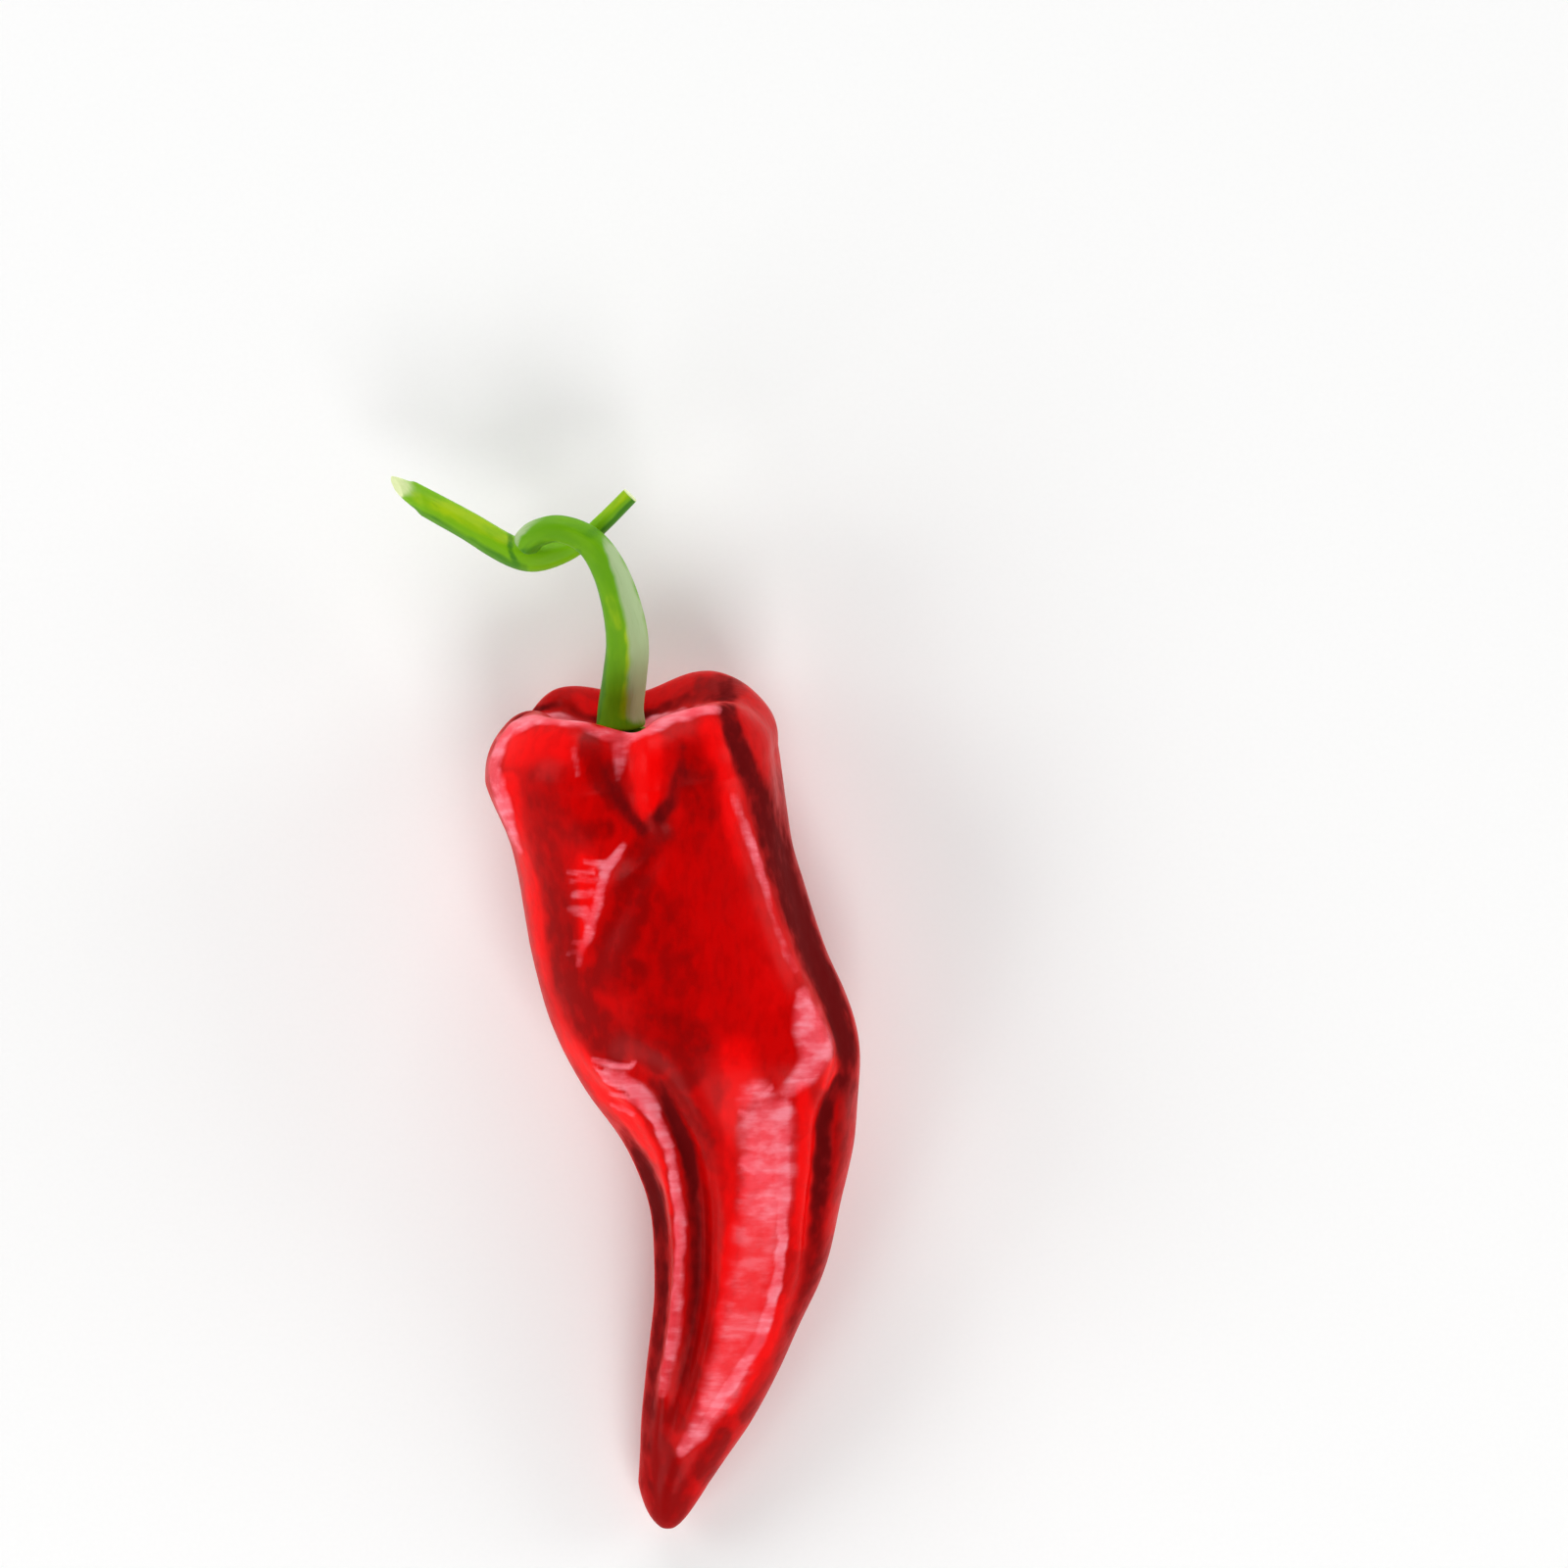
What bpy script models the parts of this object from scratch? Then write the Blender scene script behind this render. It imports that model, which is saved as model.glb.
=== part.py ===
"""A ripe red chilli pepper, picked with its stalk and a short piece of its twig, lying on its side.

Metres in Blender, +Z up. The pod's tip points along -Y and its crown along +Y. The surface that the pepper
lies on is z = 0, and the origin is under the middle of the whole object. Sizes in this file are in
millimetres. Angles round the pod start at its upper side and grow towards +X.
"""

import math

import bmesh
import bpy
from mathutils import Vector

MM = 0.001
GAP = 0.3  # clear space between neighbouring pieces

# The pod's cross-sections from its blossom end up to its shoulder:
# (y, x of the middle, half-width, half-height, clearance of the underside).
POD_SECTIONS = [
    (-61.0, 5.8, 4.6, 4.2, 0.9),
    (-52.0, 9.0, 7.4, 6.5, 0.1),
    (-42.0, 12.0, 9.3, 8.3, 0.0),
    (-33.0, 14.2, 11.0, 9.7, 0.1),
    (-25.0, 14.8, 12.4, 11.0, 0.4),
    (-18.0, 14.2, 14.5, 12.5, 0.7),
    (-11.0, 12.2, 17.2, 14.0, 0.8),
    (-3.0, 10.0, 19.4, 15.2, 0.6),
    (8.0, 6.3, 18.9, 15.8, 0.3),
    (20.0, 3.4, 18.1, 16.2, 0.0),
    (31.0, 0.8, 19.1, 16.6, 0.1),
]
PRESSED = 0.45  # how much of the underside the surface flattens

# Both ends of the pod, as (share of the end section's size, distance past it along the pod).
TIP_PROFILE = [(1.0, 0.0), (0.78, 2.4), (0.52, 4.5), (0.25, 5.8), (0.1, 6.1)]
TIP_LEAN = -0.8  # how far the very tip lies towards -X from the last section's middle
CROWN_PROFILE = [
    (1.0, 0.0),
    (0.995, 2.0),
    (0.96, 4.2),
    (0.885, 6.3),
    (0.79, 8.1),
    (0.67, 8.7),
    (0.55, 8.0),
    (0.44, 6.0),
    (0.35, 3.8),
    (0.24, 2.3),
    (0.1, 1.8),
]
CROWN_CREST = 8.7
CROWN_TILT = 13.0  # degrees that the crown's face looks up
TAIL_TILT = 6.0  # degrees that the tail's sections lean the same way
CROWN_RISE = 0.11  # the crown's +X side stands this much higher, per unit of x
DIMPLE_SHIFT = -1.6  # how far the dimple lies from the shoulder's middle, along x

# Creases and ridges that run along the pod. "path" is (y, angle, depth as a share of the radius, angular
# width); a negative depth stands out. "notch" is how far a crease cuts down the crown, as a share of its
# height.
CREASES = {
    "front seam": {
        "notch": 0.32,
        "path": [
            (40.0, -3.0, 0.19, 18.0),
            (34.0, -1.0, 0.18, 15.0),
            (29.0, 2.0, 0.17, 13.0),
            (23.5, 3.0, 0.10, 9.0),
            (19.0, -11.0, 0.05, 9.0),
            (15.0, -20.0, 0.06, 8.0),
            (10.0, -29.0, 0.05, 8.0),
            (4.0, -36.0, 0.01, 9.0),
            (-2.0, -30.0, 0.0, 10.0),
            (-7.0, -26.0, 0.05, 9.0),
            (-12.0, -26.0, 0.12, 9.0),
            (-20.0, -29.0, 0.17, 9.0),
            (-30.0, -31.0, 0.18, 9.0),
            (-40.0, -28.0, 0.16, 9.0),
            (-50.0, -26.0, 0.07, 10.0),
            (-58.0, -25.0, 0.0, 12.0),
        ],
    },
    "cord beside the front seam": {
        "notch": 0.0,
        "path": [
            (1.0, -52.0, 0.0, 14.0),
            (-7.0, -45.0, -0.05, 10.0),
            (-11.0, -36.0, -0.07, 8.0),
            (-16.0, -36.0, -0.09, 8.0),
            (-25.0, -42.0, -0.10, 8.0),
            (-40.0, -42.0, -0.10, 8.0),
            (-50.0, -43.0, -0.05, 9.0),
            (-58.0, -43.0, 0.0, 10.0),
        ],
    },
    "hollow on the tail's left": {
        "notch": 0.0,
        "path": [
            (-10.0, -62.0, 0.0, 12.0),
            (-20.0, -66.0, 0.05, 12.0),
            (-32.0, -66.0, 0.08, 12.0),
            (-46.0, -66.0, 0.05, 12.0),
            (-56.0, -66.0, 0.0, 12.0),
        ],
    },
    "edge down the right": {
        "notch": 0.0,
        "path": [
            (31.0, 40.0, -0.02, 13.0),
            (20.0, 44.0, -0.04, 12.0),
            (8.0, 45.0, -0.05, 12.0),
            (-3.0, 43.0, -0.07, 12.0),
            (-9.0, 38.0, -0.02, 12.0),
            (-15.0, 30.0, 0.0, 12.0),
        ],
    },
    "right seam": {
        "notch": 0.14,
        "path": [
            (40.0, 88.0, 0.07, 16.0),
            (20.0, 78.0, 0.05, 15.0),
            (4.0, 68.0, 0.05, 12.0),
            (-8.0, 56.0, 0.05, 9.0),
            (-13.0, 50.0, 0.10, 8.0),
            (-25.0, 48.0, 0.12, 8.0),
            (-33.0, 51.0, 0.07, 8.0),
            (-42.0, 52.0, 0.0, 9.0),
        ],
    },
    "left seam": {
        "notch": 0.14,
        "path": [
            (40.0, -92.0, 0.05, 16.0),
            (30.0, -96.0, 0.04, 16.0),
            (10.0, -104.0, 0.04, 18.0),
            (-20.0, -112.0, 0.05, 18.0),
            (-58.0, -112.0, 0.0, 18.0),
        ],
    },
    "seam underneath": {
        "notch": 0.30,
        "path": [
            (40.0, 180.0, 0.13, 22.0),
            (10.0, 178.0, 0.08, 22.0),
            (-20.0, 174.0, 0.05, 20.0),
            (-58.0, 170.0, 0.0, 20.0),
        ],
    },
}

# Small bumps on the pod: (y, angle, length, angular width, height).
BUMPS = [
    (29.0, 4.0, 4.6, 6.0, 2.5),  # wedge in the front seam
    (-3.5, 46.0, 6.0, 16.0, 0.7),  # knee at the lower end of the right edge
]

# The calyx, a small ribbed cup that sits in the dimple: radius of its disc and its ribs and teeth.
CALYX_RADIUS = 4.7
CALYX_RIBS = 5
CALYX_TOOTH = 0.6

# The stalk's middle line from the calyx to the twig, and its radius at each point: (x, y, z, radius).
STALK_ROUTE = [
    (-1.0, 36.0, 15.7, 3.4),
    (-1.0, 38.3, 16.3, 3.1),
    (-0.5, 42.0, 17.6, 2.95),
    (-0.1, 46.5, 19.3, 2.75),
    (-0.9, 51.5, 20.9, 2.5),
    (-2.6, 56.2, 22.0, 2.2),
    (-5.0, 59.4, 22.7, 1.95),
    (-8.6, 60.9, 22.8, 1.75),
    (-11.6, 60.3, 21.8, 1.75),
    (-13.1, 59.0, 20.15, 1.85),
]

# The twig's middle line from its cut end at the left, through the node, to the snipped side: same columns.
TWIG_ROUTE = [
    (-28.9, 66.3, 15.6, 1.4),
    (-26.0, 64.7, 15.9, 1.6),
    (-20.5, 61.7, 16.5, 1.7),
    (-15.5, 58.7, 17.0, 1.85),
    (-12.4, 57.5, 17.3, 1.9),
    (-9.2, 57.8, 17.5, 1.5),
    (-6.2, 59.2, 17.8, 1.25),
    (-3.0, 62.0, 18.2, 1.15),
    (0.4, 65.4, 18.7, 1.1),
]
TWIG_SLANT = Vector((0.0, -0.75, 0.9))  # the side of the left end that its sloping cut takes back

POD_SIDES = 72
BODY_STEP = 2.3  # mm between the rings of the pod's body
TIP_RINGS = 5
CROWN_RINGS = 15
STEM_SIDES = 14
STEM_STEP = 1.7  # mm between the rings of the stalk and the twig
CALYX_SIDES = 40

# name, colour (linear), roughness
MATERIALS = {
    "pod": ((0.62, 0.006, 0.006), 0.22),
    "calyx": ((0.10, 0.24, 0.03), 0.55),
    "stalk": ((0.13, 0.34, 0.02), 0.45),
    "twig": ((0.21, 0.42, 0.02), 0.5),
}


def smooth_through(rows):
    """A function of the rows' first column that passes smoothly through their other columns."""
    rows = sorted(rows)
    knots = [row[0] for row in rows]
    values = [Vector(row[1:]) if len(row) > 2 else Vector((row[1], 0.0)) for row in rows]

    def slope(i):
        low, high = max(i - 1, 0), min(i + 1, len(rows) - 1)
        return (values[high] - values[low]) / (knots[high] - knots[low])

    def at(x):
        x = min(max(x, knots[0]), knots[-1])
        i = max(k for k in range(len(knots) - 1) if knots[k] <= x)
        span = knots[i + 1] - knots[i]
        t = (x - knots[i]) / span
        return (
            (2 * t**3 - 3 * t**2 + 1) * values[i]
            + (t**3 - 2 * t**2 + t) * span * slope(i)
            + (3 * t**2 - 2 * t**3) * values[i + 1]
            + (t**3 - t**2) * span * slope(i + 1)
        )

    return at


def smoothstep(low, high, x):
    t = min(max((x - low) / (high - low), 0.0), 1.0)
    return t * t * (3 - 2 * t)


def bell(x):
    return math.exp(-x * x)


def turn_between(a, b):
    """The smallest angle from b to a, in degrees."""
    return (a - b + 180.0) % 360.0 - 180.0


def material(name):
    colour, roughness = MATERIALS[name]
    made = bpy.data.materials.new(name)
    made.use_nodes = True
    shader = made.node_tree.nodes["Principled BSDF"]
    shader.inputs["Base Color"].default_value = (*colour, 1.0)
    shader.inputs["Roughness"].default_value = roughness
    made.diffuse_color = (*colour, 1.0)
    return made


def loft(name, rings, start, end):
    """A closed piece through rings of points, closed by a fan to the points start and end."""
    mesh = bmesh.new()
    loops = [[mesh.verts.new(point * MM) for point in ring] for ring in rings]
    sides = len(loops[0])
    for lower, upper in zip(loops, loops[1:]):
        for i in range(sides):
            j = (i + 1) % sides
            mesh.faces.new((lower[i], lower[j], upper[j], upper[i]))
    for loop, pole in ((loops[0], start), (loops[-1], end)):
        centre = mesh.verts.new(pole * MM)
        for i in range(sides):
            mesh.faces.new((loop[i], loop[(i + 1) % sides], centre))
    bmesh.ops.recalc_face_normals(mesh, faces=mesh.faces)
    data = bpy.data.meshes.new(name)
    mesh.to_mesh(data)
    mesh.free()
    data.materials.append(material(name))
    data.shade_smooth()
    piece = bpy.data.objects.new(name, data)
    bpy.context.scene.collection.objects.link(piece)
    return piece


class Pod:
    """The pod's outer surface: a tapering, lobed tube with a rounded tip and a dimpled crown."""

    def __init__(self):
        self.section = smooth_through(POD_SECTIONS)
        self.bottom = POD_SECTIONS[0][0]
        self.shoulder = POD_SECTIONS[-1][0]
        self.creases = [smooth_through(crease["path"]) for crease in CREASES.values()]
        self.notches = [
            (crease["notch"], *path(self.shoulder)) for crease, path in zip(CREASES.values(), self.creases)
        ]

    def depth(self, y, angle):
        """How deep the creases cut at this place, as a share of the radius."""
        total = 0.0
        for path in self.creases:
            centre, depth, width = path(y)
            total += depth * bell(turn_between(angle, centre) / width)
        return total

    def bump(self, y, angle):
        return sum(
            height * bell((y - at_y) / length) * bell(turn_between(angle, at_angle) / width)
            for at_y, at_angle, length, width, height in BUMPS
        )

    def offset(self, y, angle, share=1.0):
        """(x, z) of the surface from the section's middle, at share of the section's size."""
        _, half_width, half_height, _ = self.section(y)
        relief = smoothstep(0.3, 0.7, share)
        scale = share * (1.0 - self.depth(y, angle) * relief)
        bump = self.bump(y, angle) * relief
        turn = math.radians(angle)
        return (half_width * scale + bump) * math.sin(turn), (half_height * scale + bump) * math.cos(turn)

    def middle_height(self, y):
        """Height of the section's middle that puts its underside at its clearance."""
        lowest = min(self.offset(y, angle)[1] for angle in range(90, 271, 6))
        return self.section(y)[3] - PRESSED - lowest

    def tilt(self, y):
        return math.radians(TAIL_TILT + (CROWN_TILT - TAIL_TILT) * smoothstep(-30.0, 20.0, y))

    def crest_cut(self, angle):
        """How far the creases cut down the crown's crest at this angle, as a share of its height."""
        return sum(
            notch * bell(turn_between(angle, centre) / (1.3 * width))
            for notch, centre, _, width in self.notches
        )

    def ring(self, y, share=1.0, past=0.0, shift=0.0):
        """The section at y, scaled by share, moved by past along the pod's own line and by shift along x."""
        middle = Vector((self.section(y)[0] + shift, y, self.middle_height(y)))
        tilt = self.tilt(y)
        axis = Vector((0.0, math.cos(tilt), math.sin(tilt)))
        rise = CROWN_RISE * smoothstep(20.0, self.shoulder, y)
        points = []
        for i in range(POD_SIDES):
            angle = 360.0 * i / POD_SIDES
            x, z = self.offset(y, angle, share)
            lift = past * (1.0 - self.crest_cut(angle) * max(past, 0.0) / CROWN_CREST)
            point = middle + Vector((x, rise * x - z * math.tan(tilt), z)) + lift * axis
            point.z = max(point.z, 0.0)
            points.append(point)
        return points

    def rings(self):
        """All rings, from the tip over the body to the floor of the dimple."""
        tip = smooth_through([(i, *row) for i, row in enumerate(TIP_PROFILE)])
        crown = smooth_through([(i, *row) for i, row in enumerate(CROWN_PROFILE)])
        body = round((self.shoulder - self.bottom) / BODY_STEP)
        made = []
        for i in range(TIP_RINGS, 0, -1):
            share, past = tip((len(TIP_PROFILE) - 1) * i / TIP_RINGS)
            made.append(self.ring(self.bottom, share, -past, TIP_LEAN * (1.0 - share**3)))
        for i in range(body + 1):
            made.append(self.ring(self.bottom + (self.shoulder - self.bottom) * i / body))
        for i in range(1, CROWN_RINGS + 1):
            share, past = crown((len(CROWN_PROFILE) - 1) * i / CROWN_RINGS)
            made.append(self.ring(self.shoulder, share, past, DIMPLE_SHIFT * (1.0 - share)))
        return made

    def dimple(self):
        """The middle of the dimple's floor and the direction that it faces."""
        floor = self.rings()[-1]
        tilt = self.tilt(self.shoulder)
        middle = sum(floor, Vector()) / len(floor)
        return middle, Vector((-CROWN_RISE, math.cos(tilt), math.sin(tilt))).normalized()


def make_pod(pod):
    rings = pod.rings()
    tip = sum(rings[0], Vector()) / POD_SIDES + Vector((0.0, -0.1, 0.0))
    return loft("pod", rings, tip, pod.dimple()[0])


def make_calyx(pod):
    """A shallow cup that follows the dimple's floor, with ribs that run out to small blunt teeth."""
    middle, out = pod.dimple()
    side = out.cross(Vector((0.0, 0.0, 1.0))).normalized()
    up = side.cross(out).normalized()
    # (share of the disc's radius, height above the dimple's floor), underside first and then the top
    underside = [(0.3, GAP + 0.05), (0.62, GAP + 0.3), (0.84, GAP + 0.75)]
    profile = underside + [(1.0, 1.85), (0.92, 2.3), (0.72, 2.2), (0.55, 2.6)]
    rings = []
    for share, height in profile:
        ring = []
        for i in range(CALYX_SIDES):
            turn = 2.0 * math.pi * i / CALYX_SIDES
            rib = 0.5 + 0.5 * math.cos(CALYX_RIBS * turn)
            radius = share * CALYX_RADIUS
            lift = height
            if height > 1.5:
                radius += CALYX_TOOTH * (rib**2 - 0.5) * smoothstep(0.6, 1.0, share)
                lift += 0.25 * rib
            ring.append(middle + side * radius * math.cos(turn) + up * radius * math.sin(turn) + out * lift)
        rings.append(ring)
    return loft("calyx", rings, middle + out * GAP, middle + out * 2.75)


def swept_rings(route, step, slant):
    """Round rings along a smooth route of (x, y, z, radius). slant points to the side of the first ring that
    a sloping cut takes back."""
    travelled = [0.0]
    for a, b in zip(route, route[1:]):
        travelled.append(travelled[-1] + (Vector(b[:3]) - Vector(a[:3])).length)
    place = smooth_through([(along, *row) for along, row in zip(travelled, route)])
    count = round(travelled[-1] / step)
    spots = [place(travelled[-1] * i / count) for i in range(count + 1)]
    middles = [Vector(spot[:3]) for spot in spots]
    rings = []
    across = None
    for i, (middle, spot) in enumerate(zip(middles, spots)):
        along = (middles[min(i + 1, count)] - middles[max(i - 1, 0)]).normalized()
        if across is None:
            across = along.cross(Vector((0.0, 0.0, 1.0)))
        across = (across - along * across.dot(along)).normalized()
        over = along.cross(across)
        cut = slant * max(0.0, 1.0 - i / 3.0)
        ring = []
        for k in range(STEM_SIDES):
            turn = 2.0 * math.pi * k / STEM_SIDES
            flat = across * math.cos(turn) + over * math.sin(turn)
            ring.append(middle + spot[3] * (flat + along * flat.dot(cut)))
        rings.append(ring)
    return rings


def make_stem(name, route, slant=Vector()):
    rings = swept_rings(route, STEM_STEP, slant)
    ends = [sum(ring, Vector()) / STEM_SIDES for ring in (rings[0], rings[-1])]
    return loft(name, rings, *ends)


def main():
    for old in list(bpy.data.objects):
        bpy.data.objects.remove(old, do_unlink=True)
    pod = Pod()
    holder = bpy.data.objects.new("chilli_pepper", None)
    bpy.context.scene.collection.objects.link(holder)
    stalk = make_stem("stalk", STALK_ROUTE)
    twig = make_stem("twig", TWIG_ROUTE, TWIG_SLANT)
    for piece in (make_pod(pod), make_calyx(pod), stalk, twig):
        piece.parent = holder


main()
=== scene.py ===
"""Models and colours a ripe red chilli pepper lying on its side, with its stalk and a snip of its twig.

The tables are in millimetres, in the pepper's own drawing: +Y runs from the pod's tip to its crown, +X is to
the right seen from above, and the surface that the pepper lies on is z = 0. Angles round the pod start at its
upper side and grow towards +X. Each piece is blocked out as a straight tube along +Y, extruded ring by ring,
and then its points are moved to the grown form.
"""

import math
from itertools import pairwise

import bpy
import numpy as np
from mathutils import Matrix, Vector, noise


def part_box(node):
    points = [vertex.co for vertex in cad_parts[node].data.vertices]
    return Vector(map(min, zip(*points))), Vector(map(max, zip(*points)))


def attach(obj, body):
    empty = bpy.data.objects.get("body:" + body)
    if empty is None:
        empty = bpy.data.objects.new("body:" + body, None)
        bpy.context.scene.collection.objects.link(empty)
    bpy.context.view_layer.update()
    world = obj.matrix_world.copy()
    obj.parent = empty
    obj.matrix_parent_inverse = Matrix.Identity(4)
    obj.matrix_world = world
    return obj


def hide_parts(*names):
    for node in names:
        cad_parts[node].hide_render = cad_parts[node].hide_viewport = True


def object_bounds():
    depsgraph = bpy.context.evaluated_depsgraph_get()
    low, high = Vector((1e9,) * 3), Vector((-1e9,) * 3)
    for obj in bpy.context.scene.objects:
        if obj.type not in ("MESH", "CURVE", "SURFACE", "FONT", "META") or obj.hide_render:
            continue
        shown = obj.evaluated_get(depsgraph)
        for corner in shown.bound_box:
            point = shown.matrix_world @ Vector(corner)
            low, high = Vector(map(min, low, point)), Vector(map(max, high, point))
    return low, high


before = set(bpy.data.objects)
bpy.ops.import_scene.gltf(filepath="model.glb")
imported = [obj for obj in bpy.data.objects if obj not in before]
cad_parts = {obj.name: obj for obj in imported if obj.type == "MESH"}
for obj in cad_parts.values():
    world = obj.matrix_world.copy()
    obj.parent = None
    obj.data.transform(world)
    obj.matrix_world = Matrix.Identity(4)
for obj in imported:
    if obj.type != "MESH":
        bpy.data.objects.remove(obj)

bl_info = {
    "name": "Chilli pepper",
    "version": (1, 0, 0),
    "blender": (4, 5, 0),
    "location": "3D View > Sidebar > Pepper",
    "description": "Models and colours a ripe chilli pepper, its stalk and a snip of its twig",
    "category": "Object",
}

CAD_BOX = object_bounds()
POD_LOW, POD_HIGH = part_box("pod")
DRAWN_POD_LENGTH = 109.3
MM = (POD_HIGH.y - POD_LOW.y) / DRAWN_POD_LENGTH  # metres for one millimetre of the drawing
GAP = 0.3  # clear space between neighbouring pieces

# --- The pod ---------------------------------------------------------------------------------------------

# Cross-sections from the blossom end to the shoulder:
# (y, x of the middle, half-width, half-height, clearance of the underside).
POD_SECTIONS = [
    (-61.0, 5.8, 4.6, 4.2, 0.9),
    (-52.0, 9.0, 7.4, 6.5, 0.1),
    (-42.0, 12.0, 9.3, 8.3, 0.0),
    (-33.0, 14.2, 11.0, 9.7, 0.1),
    (-25.0, 14.8, 12.4, 11.0, 0.4),
    (-18.0, 14.2, 14.5, 12.5, 0.7),
    (-11.0, 12.2, 17.2, 14.0, 0.8),
    (-3.0, 10.0, 19.4, 15.2, 0.6),
    (8.0, 6.3, 18.9, 15.8, 0.3),
    (20.0, 3.4, 18.1, 16.2, 0.0),
    (31.0, 0.8, 19.1, 16.6, 0.1),
]
BOTTOM, SHOULDER = POD_SECTIONS[0][0], POD_SECTIONS[-1][0]
PRESSED = 0.45  # how far the underside would sink into the surface, which flattens it
UNDERSIDE_PLACES = 93  # how many sections are tried for their lowest point

# Both ends of the pod, as (share of the end section's size, distance past it along the pod).
TIP_PROFILE = [(1.0, 0.0), (0.78, 2.4), (0.52, 4.5), (0.25, 5.8), (0.1, 6.1)]
TIP_LEAN = -0.8  # how far the very tip lies from the last section's middle, along x
CROWN_PROFILE = [
    (1.0, 0.0),
    (0.995, 2.0),
    (0.96, 4.2),
    (0.885, 6.3),
    (0.79, 8.1),
    (0.67, 8.7),
    (0.55, 8.0),
    (0.44, 6.0),
    (0.35, 3.8),
    (0.24, 2.3),
    (0.1, 1.8),
]
CROWN_CREST = 8.7
CROWN_TILT = 13.0  # degrees that the crown's face looks up
TAIL_TILT = 6.0  # degrees that the tail's sections lean the same way
TILT_CHANGE = (-30.0, 20.0)  # where along the pod the tail's tilt turns into the crown's
CROWN_RISE = 0.11  # how much further along the pod its crown reaches, per unit of x
RISE_START = 20.0  # where along the pod that begins
BACK_LOBES = 0.12  # share by which the crown stands taller on its side towards the surface
BACK_ANGLES = (95.0, 135.0)  # where round the crown that begins, and where it is full
DIMPLE_SHIFT = -1.6  # how far the dimple lies from the shoulder's middle, along x

CREST_SPREAD = 1.3  # how much wider a crease is across the crest
CREASED_SHARE = (0.3, 0.7)  # shares of the section's size between which the creases come in
FULL_FURROW_SHADE = 0.18  # the crease depth that shows the full painted shade of a furrow

# Creases and ridges along the pod: how far each cuts down the crown, as a share of the crest's height, and
# its path as (y, angle, depth as a share of the radius, angular width). A negative depth stands out.
CREASES = {
    "front seam": (0.24, [
        (40.0, -3.0, 0.19, 18.0),
        (34.0, -1.0, 0.18, 15.0),
        (29.0, 2.0, 0.17, 13.0),
        (23.5, 3.0, 0.10, 9.0),
        (19.0, -11.0, 0.05, 9.0),
        (15.0, -20.0, 0.04, 9.0),
        (10.0, -29.0, 0.02, 10.0),
        (4.0, -36.0, 0.0, 11.0),
        (-2.0, -30.0, 0.0, 10.0),
        (-7.0, -26.0, 0.05, 9.0),
        (-12.0, -26.0, 0.12, 9.0),
        (-20.0, -29.0, 0.17, 9.0),
        (-30.0, -31.0, 0.18, 9.0),
        (-40.0, -28.0, 0.16, 9.0),
        (-50.0, -26.0, 0.07, 10.0),
        (-58.0, -25.0, 0.0, 12.0),
    ]),
    "cord beside the front seam": (0.0, [
        (1.0, -52.0, 0.0, 14.0),
        (-7.0, -45.0, -0.05, 10.0),
        (-11.0, -36.0, -0.07, 8.0),
        (-16.0, -36.0, -0.09, 8.0),
        (-25.0, -42.0, -0.10, 8.0),
        (-40.0, -42.0, -0.10, 8.0),
        (-50.0, -43.0, -0.05, 9.0),
        (-58.0, -43.0, 0.0, 10.0),
    ]),
    "hollow on the tail's left": (0.0, [
        (-10.0, -62.0, 0.0, 12.0),
        (-20.0, -66.0, 0.05, 12.0),
        (-32.0, -66.0, 0.08, 12.0),
        (-46.0, -66.0, 0.05, 12.0),
        (-56.0, -66.0, 0.0, 12.0),
    ]),
    "edge down the right": (0.0, [
        (31.0, 40.0, -0.02, 13.0),
        (20.0, 44.0, -0.04, 12.0),
        (8.0, 45.0, -0.05, 12.0),
        (-3.0, 43.0, -0.07, 12.0),
        (-9.0, 38.0, -0.02, 12.0),
        (-15.0, 30.0, 0.0, 12.0),
    ]),
    "right seam": (0.14, [
        (40.0, 88.0, 0.07, 16.0),
        (20.0, 78.0, 0.05, 15.0),
        (4.0, 68.0, 0.05, 12.0),
        (-8.0, 56.0, 0.05, 9.0),
        (-13.0, 50.0, 0.10, 8.0),
        (-25.0, 48.0, 0.12, 8.0),
        (-33.0, 51.0, 0.07, 8.0),
        (-42.0, 52.0, 0.0, 9.0),
    ]),
    "left seam": (0.3, [
        (40.0, -116.0, 0.06, 9.0),
        (30.0, -114.0, 0.05, 10.0),
        (10.0, -108.0, 0.04, 15.0),
        (-20.0, -112.0, 0.05, 18.0),
        (-58.0, -112.0, 0.0, 18.0),
    ]),
    "seam underneath": (0.30, [
        (40.0, 180.0, 0.13, 22.0),
        (10.0, 178.0, 0.08, 22.0),
        (-20.0, 174.0, 0.05, 20.0),
        (-58.0, 170.0, 0.0, 20.0),
    ]),
}

# Small bumps on the pod: (y, angle, length, angular width, height).
BUMPS = [
    (29.5, 6.5, 4.8, 8.5, 2.6),  # wedge in the front seam
    (-3.5, 46.0, 6.0, 16.0, 0.7),  # knee at the lower end of the right edge
]

POD_SIDES = 64
BODY_STEP = 1.7  # between the rings of the pod's body
TIP_RINGS = 6
CROWN_RINGS = 20
SKIN_WAVES = (0.16, 7.0)  # height and length of the skin's uneven waves
GROOVE_DEPTH = 0.15  # how deep a full-strength stroke of painted shade is pressed into the skin
SHEEN_HEIGHT = 0.1  # how far a full-strength stroke of painted highlight stands out of it

STROKE_WOBBLE = (0.35, 2.0)  # how far the strokes' edges wander, and over what length
WANDER_SEED = 1  # set, because the noise behind the wandering otherwise starts from the clock
STROKE_EDGE = (0.4, 1.6)  # where a stroke starts to fade and where it ends, in half-widths from its middle

# How far a point faces up where a tone has faded out, and where it is full.
POD_TONES_FADE = (-0.35, 0.4)
DEEP_AND_SHEEN_FADE = (-0.1, 0.3)
STEM_TONES_FADE = (-0.6, -0.1)
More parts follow.
